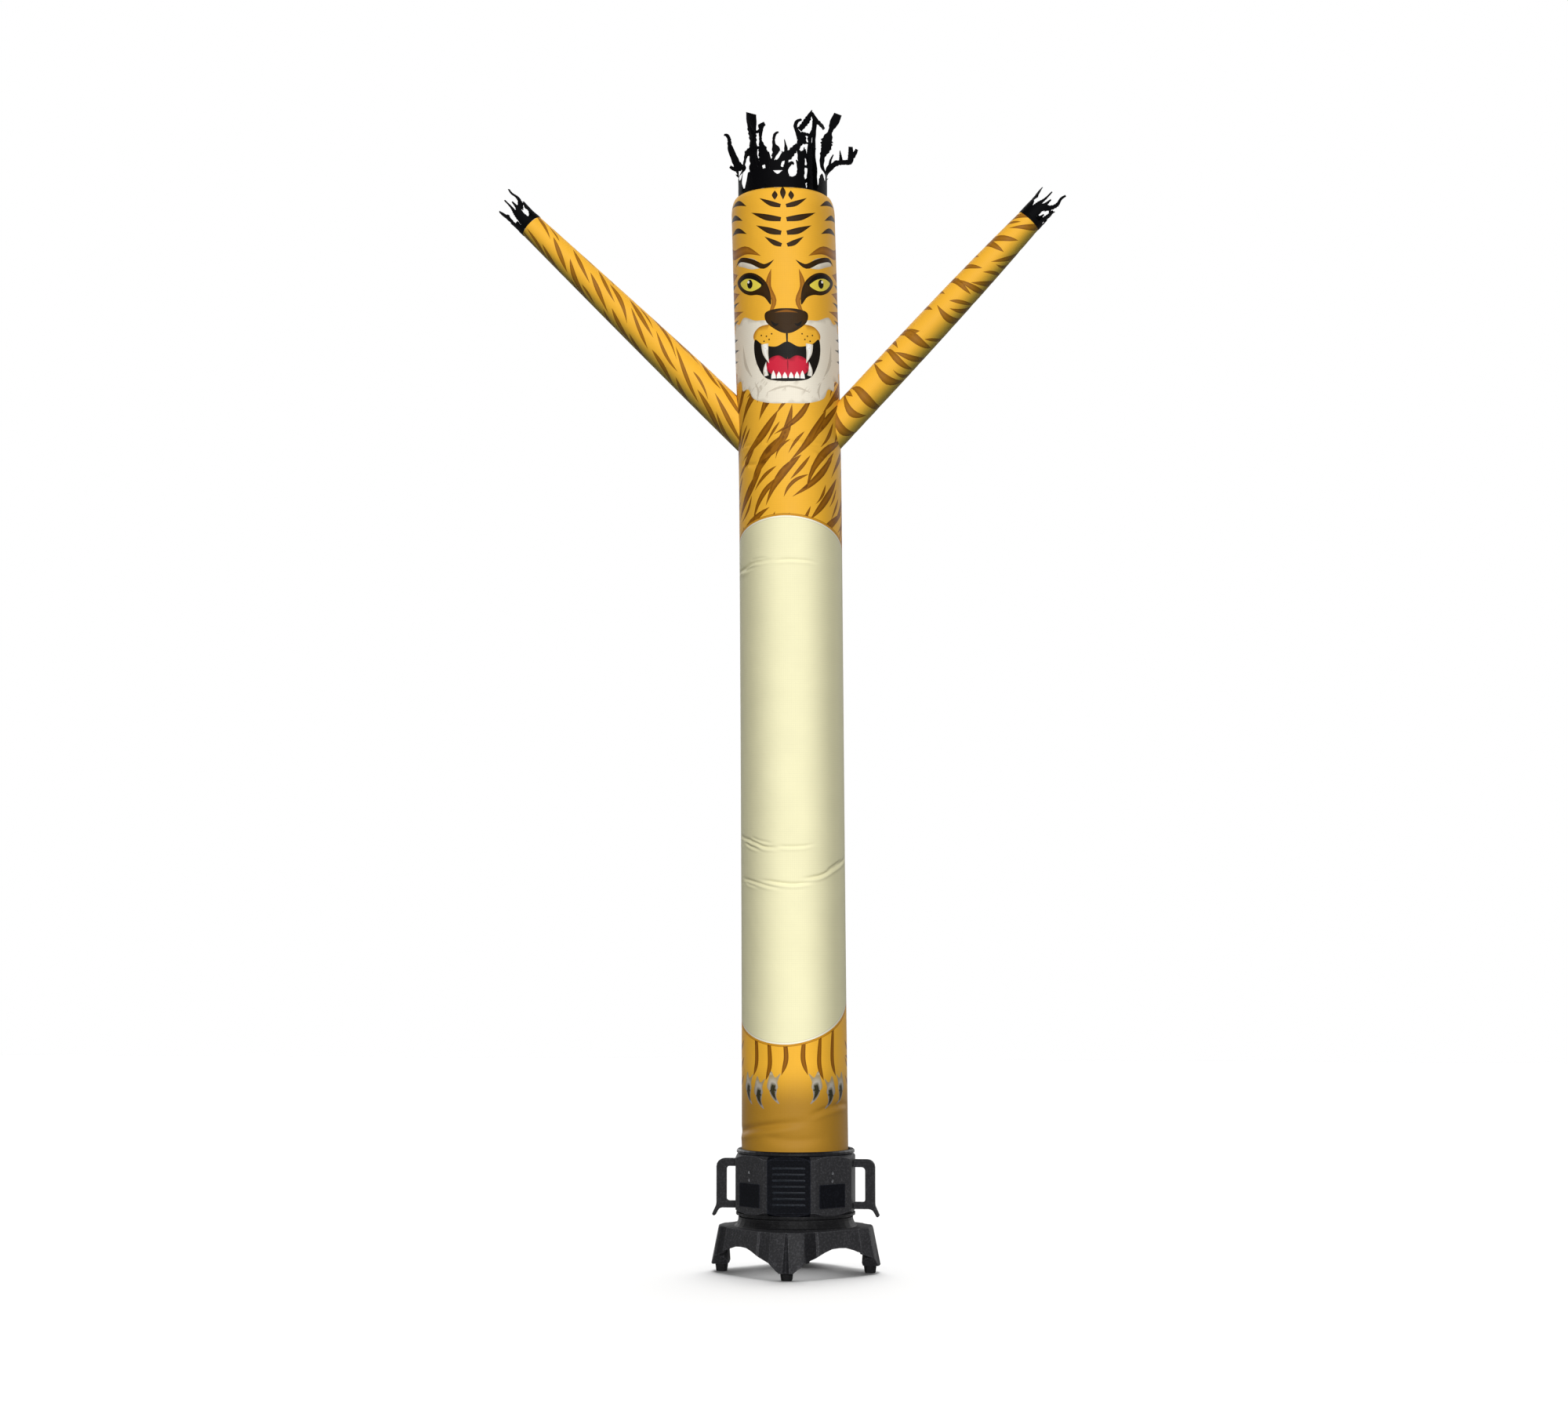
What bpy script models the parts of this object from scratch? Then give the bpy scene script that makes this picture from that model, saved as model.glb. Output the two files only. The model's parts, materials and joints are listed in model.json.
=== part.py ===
"""An inflatable air dancer: a printed nylon tube with two sleeves and ragged streamers, on its blower.

Metres, +Z up. The floor is z = 0 and the front faces -Y. Angles round the tube are measured from the
front towards +X.
"""
import math

import bmesh
import bpy
from mathutils import Matrix, Vector

GAP = 0.0003  # between pieces that meet
CLOTH = 0.002  # nylon with its coating and seams
AXIS_X = 0.0440  # the blower's axis, from the middle of the whole part

# The cloth tube
TUBE_BOTTOM = 0.3386
RIM_Z = 3.130
TUBE_RADIUS = 0.150
FOOT_SWELL = 0.0033  # wider where it fits over the blower's collar
FOOT_SWELL_REACH = 0.40
HEAD_SWELL = 0.0025
SHOULDER_Z = 2.33
SHOULDER_HEIGHT = 0.055  # the rounded top of the head
RIM_RADIUS = 0.131
LEAN_START = 0.0020
LEAN = 0.0066  # sideways metres for each metre of height
HEAD_LEAN = 0.0282
HEAD_LEAN_SOFT = 0.12

# The belly panel, let into the tube's front
PANEL_HALF_ANGLE = math.radians(105)
PANEL_BOTTOM = 0.651
PANEL_TOP = 2.163
PANEL_BOTTOM_RISE = 0.140  # height of the round end
PANEL_TOP_RISE = 0.117
PANEL_STEPS = 10  # columns on each side of the front
BACK_STEPS = 10

# Soft creases: angles in degrees, heights of the line at its start, middle and end
CREASES = (
    # start, end, z_start, z_middle, z_end, depth, width
    (-100, 52, 2.016, 2.036, 2.026, 0.0050, 0.010),
    (-100, 26, 1.250, 1.219, 1.210, 0.0055, 0.011),
    (-74, 100, 1.122, 1.108, 1.186, 0.0060, 0.012),
    (-100, 64, 0.402, 0.434, 0.420, 0.0070, 0.014),
)
LOW_ROWS = (0.362, 0.386, 0.398, 0.410, 0.422, 0.434, 0.446, 0.462, 0.520, 0.600)
BACK_ROWS = (1.10, 1.42, 1.74)
HIGH_ROWS = (2.22, 2.36, 2.50, 2.70, 2.90, 3.04, 3.075, 3.097, 3.113, 3.124)
PANEL_LOW_ROWS = (0.82, 0.95)
PANEL_FOLD_ROWS = 14  # from FOLD_BOTTOM to FOLD_TOP
FOLD_BOTTOM = 1.085
FOLD_TOP = 1.262
PANEL_HIGH_ROWS = (1.45, 1.70, 1.94, 1.998, 2.012, 2.026, 2.038)

# Sleeves: sideways from the blower's axis, heights, outer radii, and how late the taper comes
ARMS = {
    # side: (root_x, root_z, tip_x, tip_z, root_radius, tip_radius, taper_power)
    "left": (-0.1689, 2.459, -0.7934, 3.0715, 0.0580, 0.0368, 1.3),
    "right": (0.1351, 2.4547, 0.6873, 3.0403, 0.0500, 0.0374, 3.0),
}
ARM_SIDES = 20
ARM_GAP = 0.0007  # at the root, which crosses the tube's flat facets
ARM_RINGS = 7

# Head streamers: a ragged crown on the rim. Columns are counted from the front towards +X
HAIR_BAND = 0.072
HAIR_COLUMNS = 54
HAIR = (
    # column, columns, length, sideways, outward, tip_half_width
    (52, 2, 0.096, 0.010, 0.000, 0.004),
    (1, 2, 0.040, -0.008, 0.002, 0.006),
    (4, 2, 0.133, 0.012, 0.004, 0.008),
    (8, 2, 0.176, 0.044, 0.046, 0.010),
    (11, 1, 0.060, -0.006, 0.020, 0.003),
    (13, 2, 0.086, 0.010, 0.092, 0.007),
    (16, 2, 0.092, 0.008, 0.050, 0.005),
    (19, 2, 0.216, -0.004, -0.004, 0.006),
    (23, 2, 0.082, 0.014, 0.002, 0.006),
    (26, 2, 0.142, -0.006, 0.000, 0.006),
    (29, 1, 0.070, 0.010, 0.004, 0.003),
    (31, 1, 0.088, -0.008, 0.004, 0.004),
    (33, 2, 0.216, 0.018, 0.006, 0.011),
    (37, 2, 0.066, 0.030, 0.030, 0.004),
    (40, 2, 0.136, 0.008, 0.048, 0.006),
    (43, 1, 0.052, -0.010, 0.022, 0.003),
    (45, 1, 0.070, 0.004, 0.000, 0.003),
    (47, 2, 0.134, 0.008, -0.006, 0.005),
    (49, 2, 0.120, 0.024, -0.002, 0.010),
)
STRIP_LEVELS = 4  # stations along a strip
RAGGED = (0.10, 0.06)  # unevenness of a band's upper edge, as shares of its height

# Hand streamers
CUFF_BAND = 0.028
CUFF_COLUMNS = 20
HANDS = {
    "left": (
        (0, 2, 0.083, 0.000, 0.002, 0.003),
        (3, 1, 0.060, 0.004, 0.004, 0.002),
        (5, 1, 0.101, -0.004, 0.014, 0.003),
        (7, 1, 0.040, 0.000, 0.008, 0.002),
        (9, 2, 0.074, -0.004, 0.004, 0.003),
        (12, 1, 0.048, 0.004, 0.002, 0.002),
        (14, 1, 0.070, 0.002, 0.004, 0.003),
        (17, 2, 0.080, -0.002, 0.000, 0.003),
    ),
    "right": (
        (19, 2, 0.076, 0.000, 0.000, 0.003),
        (2, 1, 0.053, -0.004, 0.002, 0.002),
        (4, 1, 0.095, 0.004, 0.006, 0.003),
        (6, 1, 0.036, -0.004, 0.006, 0.002),
        (8, 1, 0.062, 0.004, 0.004, 0.003),
        (10, 2, 0.048, 0.000, 0.002, 0.003),
        (13, 1, 0.070, -0.004, 0.002, 0.003),
        (16, 2, 0.074, 0.000, -0.002, 0.003),
    ),
}

# The blower
DUCT_RADIUS = 0.1445
HOUSING_BOTTOM = 0.1708
DECK_Z = 0.3366
FLAT = 0.166  # axis to the middle of a flat side
CORNER_CHAMFER = 0.0135
ROUND_STEPS = 40
LIP_TOP = 0.350
LIP_OUTER = 0.1695
LIP_INNER = 0.1565
COLLAR_OUTER = 0.1470
COLLAR_TOP = 0.372
NECK_PROFILE = (
    # radius, height
    (0.1765, 0.1323),
    (0.1700, 0.1380),
    (0.1650, 0.1500),
    (0.1645, 0.1580),
    (0.1590, 0.1590),
    (0.1590, 0.1630),
    (0.1712, 0.1640),
    (0.1712, 0.1705),
)
BASE_TOP = 0.132
BASE_PLATE = 0.006
BASE_FLARE = 0.86  # how much wider the skirt is, for each metre down
BASE_EDGE = 0.003
INTAKE_RADIUS = 0.150
LEG_PLAN = (
    # sideways from the leg's middle, reach at the top, height of the lower edge, wall
    (0.000, 0.2130, 0.0210, 0.044),
    (0.009, 0.2220, 0.0210, 0.052),
    (0.030, 0.2175, 0.0210, 0.050),
    (0.045, 0.2140, 0.0460, 0.012),
    (0.080, 0.1920, 0.0620, 0.006),
    (0.1000, 0.1720, 0.0740, 0.006),
    (0.1180, 0.1540, 0.0815, 0.006),
    (0.1360, 0.1360, 0.0830, 0.006),
)
FOOT_REACH = 0.2140
FOOT_TOP = 0.0207
FOOT_HALF_TOP = 0.0175
FOOT_HALF_BOTTOM = 0.0145
HANDLE_OUTLINE = (
    # outward from the axis, height, corner radius
    (0.1663, 0.3200, 0.0),
    (0.2285, 0.3200, 0.022),
    (0.2285, 0.1900, 0.030),
    (0.2415, 0.1610, 0.004),
    (0.2350, 0.1545, 0.004),
    (0.2210, 0.1800, 0.018),
    (0.1663, 0.1800, 0.0),
    (0.1663, 0.1990, 0.0),
    (0.2010, 0.1990, 0.008),
    (0.2010, 0.2985, 0.010),
    (0.1663, 0.2985, 0.0),
)
HANDLE_HALF_WIDTH = 0.0145
PLATE = 0.0015
FRONT_PLATE = (0.124, 0.1800, 0.3290, 0.012)  # width, bottom, top, corner
LABEL = (0.092, 0.1920, 0.2585, 0.003)
SCREW_HEIGHTS = {"high": 0.2895, "low": 0.2675}
SCREW_RADIUS = 0.0042
SCREW_HEIGHT = 0.0022
GUARD_THICKNESS = 0.003
GUARD_RADIUS = 0.1485
GUARD_RINGS = (0.030, 0.058, 0.066, 0.096, 0.104, 0.134)  # edges of hub, gaps and rings
GUARD_SPOKES = 8
GUARD_SPOKE_ANGLE = math.radians(7)
INLET_Z = 0.205
INLET_RADIUS = 0.014
INLET_LENGTH = 0.014

COLOURS = {
    # name: (base colour, roughness)
    "amber_nylon": ((0.80, 0.42, 0.06), 0.55),
    "cream_nylon": ((0.85, 0.80, 0.58), 0.50),
    "black_nylon": ((0.008, 0.008, 0.009), 0.60),
    "black_plastic": ((0.022, 0.022, 0.025), 0.50),
    "dark_plate": ((0.008, 0.009, 0.011), 0.35),
    "rubber": ((0.012, 0.012, 0.012), 0.75),
    "screw_steel": ((0.20, 0.20, 0.21), 0.35),
}
METALS = {"screw_steel": 1.0}


def clear_scene():
    for thing in list(bpy.data.objects):
        bpy.data.objects.remove(thing, do_unlink=True)


def material(name):
    """The one Principled material of this name."""
    found = bpy.data.materials.get(name)
    if found:
        return found
    made = bpy.data.materials.new(name)
    made.use_nodes = True
    shader = made.node_tree.nodes["Principled BSDF"]
    colour, roughness = COLOURS[name]
    shader.inputs["Base Color"].default_value = (*colour, 1.0)
    shader.inputs["Roughness"].default_value = roughness
    shader.inputs["Metallic"].default_value = METALS.get(name, 0.0)
    return made


def add_object(name, points, faces, material_name, smooth=True):
    mesh = bpy.data.meshes.new(name)
    mesh.from_pydata([tuple(p) for p in points], [], faces)
    tidy = bmesh.new()
    tidy.from_mesh(mesh)
    bmesh.ops.recalc_face_normals(tidy, faces=tidy.faces)
    tidy.to_mesh(mesh)
    tidy.free()
    if smooth:
        mesh.shade_smooth()
        mesh.set_sharp_from_angle(angle=math.radians(35))
    thing = bpy.data.objects.new(name, mesh)
    bpy.context.scene.collection.objects.link(thing)
    mesh.materials.append(material(material_name))
    return thing


def closed_grid(loops):
    """Points and quads of a torus-like grid: each loop joins the next, and the last joins the first."""
    count = len(loops[0])
    points = [p for loop in loops for p in loop]
    faces = []
    for i in range(len(loops)):
        after = (i + 1) % len(loops)
        for j in range(count):
            beside = (j + 1) % count
            faces.append((i * count + j, i * count + beside, after * count + beside, after * count + j))
    return points, faces


def turned_ring(name, profile, material_name, steps=ROUND_STEPS):
    """A ring about the blower's axis, from its closed profile of (radius, height)."""
    loops = []
    for step in range(steps):
        turn = 2 * math.pi * step / steps
        loops.append([on_axis(turn, radius, height) for radius, height in profile])
    return add_object(name, *closed_grid(loops), material_name)


def on_axis(turn, radius, height):
    """The point at this angle from the front, about the blower's axis."""
    return Vector((AXIS_X + radius * math.sin(turn), -radius * math.cos(turn), height))


def prism(name, outline, place, thickness, material_name, smooth=True):
    """An outline of (u, v) given a thickness along w; place(u, v, w) puts each point in space."""
    count = len(outline)
    points = [place(u, v, 0.0) for u, v in outline]
    points += [place(u, v, thickness) for u, v in outline]
    faces = [tuple(range(count)), tuple(range(2 * count - 1, count - 1, -1))]
    faces += [(i, (i + 1) % count, count + (i + 1) % count, count + i) for i in range(count)]
    return add_object(name, points, faces, material_name, smooth)


def rounded_outline(corners, steps=4):
    """The corners (u, v, radius) as points, with an arc at each corner that has a radius."""
    points = []
    for i, (u, v, radius) in enumerate(corners):
        here = Vector((u, v))
        if radius == 0:
            points.append((u, v))
            continue
        before = (Vector(corners[i - 1][:2]) - here).normalized()
        after = (Vector(corners[(i + 1) % len(corners)][:2]) - here).normalized()
        half = before.angle(after) / 2
        run = radius / math.tan(half)
        centre = here + (before + after).normalized() * radius / math.sin(half)
        first = here + before * run - centre
        last = here + after * run - centre
        sweep = first.angle_signed(last)
        for step in range(steps + 1):
            turned = Matrix.Rotation(-sweep * step / steps, 2) @ first
            points.append(tuple(centre + turned))
    return points


# ---- the cloth tube and the belly panel ----


def centre_x(z):
    """The middle of the tube at this height, which leans a little to -X and more above the shoulders."""
    above = z - SHOULDER_Z
    ramp = (above + math.hypot(above, HEAD_LEAN_SOFT)) / 2
    return AXIS_X - LEAN_START - LEAN * (z - TUBE_BOTTOM) - (HEAD_LEAN - LEAN) * ramp


def smoothstep(low, high, value):
    t = min(1.0, max(0.0, (value - low) / (high - low)))
    return t * t * (3 - 2 * t)


def tube_radius(z):
    radius = TUBE_RADIUS + FOOT_SWELL * math.exp(-(z - TUBE_BOTTOM) / FOOT_SWELL_REACH)
    radius += HEAD_SWELL * smoothstep(SHOULDER_Z, SHOULDER_Z + 0.4, z)
    t = (z - (RIM_Z - SHOULDER_HEIGHT)) / SHOULDER_HEIGHT
    if t > 0:
        drop = radius - RIM_RADIUS
        radius -= drop * (1 - math.sqrt(max(0.0, 1 - t * t)))
    return radius


def crease_depth(turn, z):
    """How far the creases draw the cloth in here."""
    depth = 0.0
    degrees = math.degrees(turn)
    for start, end, z_start, z_middle, z_end, deepest, width in CREASES:
        u = (degrees - start) / (end - start)
        if not 0 < u < 1:
            continue
        line = z_start * (1 - u) * (1 - 2 * u) + 4 * z_middle * u * (1 - u) + z_end * u * (2 * u - 1)
        fade = math.sin(math.pi * u) ** 0.6
        depth += deepest * fade * math.exp(-(((z - line) / width) ** 2))
    return depth


def tube_point(turn, z):
    radius = tube_radius(z) - crease_depth(turn, z)
    return Vector((centre_x(z) + radius * math.sin(turn), -radius * math.cos(turn), z))


def panel_columns(inset):
    """(angle, bottom, top) of each column across the panel's opening, drawn in by inset."""
    columns = []
    half = PANEL_HALF_ANGLE - inset / TUBE_RADIUS
    for step in range(-PANEL_STEPS, PANEL_STEPS + 1):
        swing = math.pi / 2 * step / PANEL_STEPS
        round_end = 1 - math.cos(swing)
        bottom = PANEL_BOTTOM + inset + PANEL_BOTTOM_RISE * round_end
        top = PANEL_TOP - inset - PANEL_TOP_RISE * round_end
        columns.append((half * math.sin(swing), bottom, top))
    return columns


def thicken(thing):
    """Gives a sheet its thickness, inwards from its outer face."""
    solidify = thing.modifiers.new("thickness", "SOLIDIFY")
    solidify.thickness = CLOTH
    solidify.offset = -1.0
    solidify.use_even_offset = True
    solidify.use_rim = True


def outward_sheet(name, points, faces, material_name):
    """An open sheet whose faces are already wound outwards."""
    mesh = bpy.data.meshes.new(name)
    mesh.from_pydata([tuple(p) for p in points], [], faces)
    mesh.shade_smooth()
    mesh.materials.append(material(material_name))
    thing = bpy.data.objects.new(name, mesh)
    bpy.context.scene.collection.objects.link(thing)
    thicken(thing)
    return thing


def make_body_tube():
    columns = panel_columns(0.0)
    sweep = 2 * (math.pi - PANEL_HALF_ANGLE)
    low_corner, high_corner = columns[0][1:]
    for step in range(1, BACK_STEPS):
        columns.append((PANEL_HALF_ANGLE + sweep * step / BACK_STEPS, low_corner, high_corner))
    first_back_row = 1 + len(LOW_ROWS)
    last_back_row = first_back_row + len(BACK_ROWS) + 1
    points = []
    for turn, low, high in columns:
        turn = math.remainder(turn, 2 * math.pi)
        heights = [TUBE_BOTTOM, *LOW_ROWS, low, *BACK_ROWS, high, *HIGH_ROWS, RIM_Z]
        points += [tube_point(turn, z) for z in heights]
    rows = 4 + len(LOW_ROWS) + len(BACK_ROWS) + len(HIGH_ROWS)
    faces = []
    for i in range(len(columns)):
        beside = (i + 1) % len(columns)
        in_window = i < 2 * PANEL_STEPS
        for j in range(rows - 1):
            if in_window and first_back_row <= j < last_back_row:
                continue
            faces.append((i * rows + j, beside * rows + j, beside * rows + j + 1, i * rows + j + 1))
    used = sorted({k for face in faces for k in face})
    new_place = {k: n for n, k in enumerate(used)}
    points = [points[k] for k in used]
    faces = [tuple(new_place[k] for k in face) for face in faces]
    tube = outward_sheet("body_tube", points, faces, "amber_nylon")
    for side in ARMS:
        cutter = make_arm_cutter(side)
        cut = tube.modifiers.new("sleeve hole " + side, "BOOLEAN")
        cut.operation = "DIFFERENCE"
        cut.solver = "EXACT"
        cut.object = cutter
    return tube


def make_belly_panel():
    fold_step = (FOLD_TOP - FOLD_BOTTOM) / PANEL_FOLD_ROWS
    fold_rows = [FOLD_BOTTOM + fold_step * k for k in range(PANEL_FOLD_ROWS + 1)]
    points = []
    for turn, low, high in panel_columns(GAP):
        heights = [low, *PANEL_LOW_ROWS, *fold_rows, *PANEL_HIGH_ROWS, high]
        points += [tube_point(turn, z) for z in heights]
        rows = len(heights)
    faces = []
    for i in range(2 * PANEL_STEPS):
        for j in range(rows - 1):
            faces.append((i * rows + j, (i + 1) * rows + j, (i + 1) * rows + j + 1, i * rows + j + 1))
    return outward_sheet("belly_panel", points, faces, "cream_nylon")


# ---- the sleeves ----


def arm_frame(side):
    """The sleeve's root, its direction, its length, and two directions square to it."""
    root_x, root_z, tip_x, tip_z = ARMS[side][:4]
    root = Vector((AXIS_X + root_x, 0.0, root_z))
    along = Vector((tip_x - root_x, 0.0, tip_z - root_z))
    length = along.length
    along.normalize()
    up = Vector((-along.z, 0.0, along.x)) * (1 if side == "right" else -1)
    return root, along, length, up, Vector((0.0, -1.0, 0.0))


def arm_radius(side, t):
    root_radius, tip_radius, power = ARMS[side][4:]
    return root_radius + (tip_radius - root_radius) * max(0.0, t) ** power


def arm_start(side, turn, inset):
    """How far along its line from the root this strand of the sleeve meets the tube."""
    root, along, length, up, front = arm_frame(side)
    radius = arm_radius(side, 0.0) - inset
    offset = up * (radius * math.cos(turn)) + front * (radius * math.sin(turn))
    low, high = -0.12, 0.12
    for _ in range(40):
        middle = (low + high) / 2
        point = root + offset + along * middle
        reach = math.hypot(point.x - centre_x(point.z), point.y)
        if reach < tube_radius(point.z) + ARM_GAP:
            low = middle
        else:
            high = middle
    return high


def make_arm(side):
    root, along, length, up, front = arm_frame(side)

    def ring(t, inset):
        loop = []
        for step in range(ARM_SIDES):
            turn = 2 * math.pi * step / ARM_SIDES
            radius = arm_radius(side, t) - inset
            start = arm_start(side, turn, inset)
            place = root + along * (start + (length - start) * t)
            loop.append(place + up * (radius * math.cos(turn)) + front * (radius * math.sin(turn)))
        return loop

    steps = [k / ARM_RINGS for k in range(ARM_RINGS + 1)]
    loops = [ring(t, 0.0) for t in steps]
    loops += [ring(t, CLOTH) for t in reversed(steps)]
    return add_object("arm_" + side, *closed_grid(loops), "amber_nylon")


def make_arm_cutter(side):
    """The sleeve's bore, which is cut through the tube's wall."""
    root, along, length, up, front = arm_frame(side)
    radius = arm_radius(side, 0.0) - CLOTH
    rings = []
    for distance in (-0.115, 0.10):
        ring = []
        for step in range(ARM_SIDES):
            turn = 2 * math.pi * step / ARM_SIDES
            offset = up * (radius * math.cos(turn)) + front * (radius * math.sin(turn))
            ring.append(root + along * distance + offset)
        rings.append(ring)
    points = rings[0] + rings[1]
    faces = [tuple(range(ARM_SIDES)), tuple(range(2 * ARM_SIDES - 1, ARM_SIDES - 1, -1))]
    for i in range(ARM_SIDES):
        beside = (i + 1) % ARM_SIDES
        faces.append((i, beside, ARM_SIDES + beside, ARM_SIDES + i))
    cutter = add_object("sleeve_cutter_" + side, points, faces, "amber_nylon", smooth=False)
    cutter.hide_render = True
    cutter.display_type = "WIRE"
    return cutter


# ---- the streamers ----


def make_crown(name, centre, up, across, front, radius, band, columns, strips):
    """A band standing round a rim, with ragged strips rising from its upper edge."""

    def place(turn, outward, height):
        spoke = across * math.sin(turn) + front * math.cos(turn)
        return centre + spoke * (radius + outward) + up * height

    points = []
    faces = []
    for step in range(columns):
        turn = 2 * math.pi * step / columns
        ragged = band * (1 + RAGGED[0] * math.sin(3.7 * step) + RAGGED[1] * math.sin(1.9 * step))
        points += [place(turn, 0.0, 0.0), place(turn, 0.0, ragged)]
    for step in range(columns):
        beside = (step + 1) % columns
        faces.append((2 * step, 2 * beside, 2 * beside + 1, 2 * step + 1))
    for column, wide, length, sideways, outward, tip in strips:
        middle = 2 * math.pi * (column + wide / 2) / columns
        half = math.pi * wide / columns
        last = [2 * ((column + k) % columns) + 1 for k in range(wide + 1)]
        for level in range(1, STRIP_LEVELS + 1):
            t = level / STRIP_LEVELS
            narrow = half * (1 - t) ** 1.5 + tip / radius * (1 - (1 - t) ** 1.5)
            wave = 0.25 * sideways * math.sin(math.pi * t) + sideways * t * t
            height = band + length * t
            out = outward * t ** 1.5
            pair = []
            for edge in (-1, 1):
                turn = middle + wave / radius + edge * narrow
                points.append(place(turn, out, height))
                pair.append(len(points) - 1)
            faces.append((*last, pair[1], pair[0]))
            last = pair
    return outward_sheet(name, points, faces, "black_nylon")


def make_hair():
    centre = Vector((centre_x(RIM_Z), 0.0, RIM_Z + GAP))
    up, across, front = Vector((0, 0, 1)), Vector((1, 0, 0)), Vector((0, -1, 0))
    radius = RIM_RADIUS + CLOTH / 4
    make_crown("hair_streamers", centre, up, across, front, radius, HAIR_BAND, HAIR_COLUMNS, HAIR)


def make_hand(side):
    root, along, length, up, front = arm_frame(side)
    centre = root + along * (length + GAP)
    across = up if side == "left" else -up
    make_crown("hand_streamers_" + side, centre, along, across, front, arm_radius(side, 1.0), CUFF_BAND,
               CUFF_COLUMNS, HANDS[side])


# ---- the blower ----


def make_housing():
    corner = FLAT / math.cos(math.pi / 8) + 0.002
    flat = FLAT + 0.0005
    profile = (
        (DUCT_RADIUS, HOUSING_BOTTOM),
        (flat, HOUSING_BOTTOM),
        (corner, HOUSING_BOTTOM + CORNER_CHAMFER),
        (corner, DECK_Z - CORNER_CHAMFER),
        (flat, DECK_Z),
        (DUCT_RADIUS, DECK_Z),
    )
    housing = turned_ring("blower_housing", profile, "black_plastic")
    eight = [on_axis(math.pi / 8 + math.pi / 4 * k, FLAT / math.cos(math.pi / 8), 0.0) for k in range(8)]
    outline = [(p.x, p.y) for p in eight]
    cutter = prism("housing_cutter", outline, lambda u, v, w: Vector((u, v, 0.1 + w)), 0.3,
                   "black_plastic", smooth=False)
    cutter.hide_render = True
    cutter.display_type = "WIRE"
    sides = housing.modifiers.new("eight sides", "BOOLEAN")
    sides.operation = "INTERSECT"
    sides.solver = "EXACT"
    sides.object = cutter


def make_rings():
    lip = (
        (LIP_INNER, DECK_Z + GAP),
        (LIP_OUTER - 0.004, DECK_Z + GAP),
        (LIP_OUTER, DECK_Z + 0.004),
        (LIP_OUTER, LIP_TOP - 0.004),
        (LIP_OUTER - 0.004, LIP_TOP),
        (LIP_INNER, LIP_TOP),
    )
    turned_ring("outlet_lip", lip, "black_plastic")
    collar = (
        (DUCT_RADIUS - 0.001, DECK_Z + GAP),
        (COLLAR_OUTER, DECK_Z + GAP),
        (COLLAR_OUTER, COLLAR_TOP),
        (DUCT_RADIUS - 0.001, COLLAR_TOP),
    )
    turned_ring("outlet_collar", collar, "black_plastic")
    bore = INTAKE_RADIUS + 0.001
    neck = ((bore, NECK_PROFILE[0][1]), *NECK_PROFILE, (bore, NECK_PROFILE[-1][1]))
    turned_ring("blower_neck", neck, "black_plastic")


def base_columns():
    """(x, y, lower edge, wall) round the base at its top, for four legs."""
    half = list(LEG_PLAN)
    quarter = [(-s, reach, low, wall) for s, reach, low, wall in reversed(half[1:-1])] + half
    columns = []
    for leg in range(4):
        turn = math.pi / 2 * leg
        for s, reach, low, wall in quarter:
            x = s * math.cos(turn) + reach * math.sin(turn)
            y = s * math.sin(turn) - reach * math.cos(turn)
            columns.append((x, y, low, wall))
    return columns


def make_base():
    loops = []
    for x, y, low, wall in base_columns():
        reach = math.hypot(x, y)

        def at(height, inward=0.0):
            wide = 1 + BASE_FLARE * (BASE_TOP - height) - inward / reach
            return Vector((AXIS_X + x * wide, y * wide, height))

        edge = Vector((AXIS_X + x * INTAKE_RADIUS / reach, y * INTAKE_RADIUS / reach, 0.0))
        under = BASE_TOP - BASE_PLATE
        inner = 0.020 if wall > 0.02 else wall
        loops.append([
            edge + Vector((0, 0, BASE_TOP)),
            at(BASE_TOP, BASE_EDGE),
            at(BASE_TOP - BASE_EDGE),
            at(low + BASE_EDGE),
            at(low, BASE_EDGE),
            at(low, wall),
            at(under, inner),
            edge + Vector((0, 0, under)),
        ])
    return add_object("blower_base", *closed_grid(loops), "black_plastic")


def make_feet():
    for number, name in enumerate(("front", "right", "back", "left")):
        middle = on_axis(math.pi / 2 * number, FOOT_REACH, 0.0)
        rings = []
        levels = ((FOOT_HALF_BOTTOM, 0.0), (FOOT_HALF_BOTTOM + 0.001, 0.004), (FOOT_HALF_TOP, FOOT_TOP))
        for half, height in levels:
            cut = half * 0.45
            corners = ((half, cut), (cut, half), (-cut, half), (-half, cut))
            ring = [middle + Vector((x, y, height)) for x, y in corners]
            ring += [middle + Vector((-x, -y, height)) for x, y in corners]
            rings.append(ring)
        points = [p for ring in rings for p in ring]
        faces = [tuple(range(8)), tuple(range(23, 15, -1))]
        for low in (0, 8):
            faces += [(low + i, low + (i + 1) % 8, low + 8 + (i + 1) % 8, low + 8 + i) for i in range(8)]
        add_object("foot_" + name, points, faces, "rubber", smooth=False)


def make_handles():
    outline = rounded_outline(HANDLE_OUTLINE)
    for name, side in (("left", -1), ("right", 1)):

        def place(u, v, w):
            return Vector((AXIS_X + side * u, w - HANDLE_HALF_WIDTH, v))

        handle = prism("handle_" + name, outline, place, 2 * HANDLE_HALF_WIDTH, "black_plastic")
        bevel = handle.modifiers.new("soft edges", "BEVEL")
        bevel.width = 0.003
        bevel.segments = 1
        bevel.limit_method = "ANGLE"
        bevel.angle_limit = math.radians(50)


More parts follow.
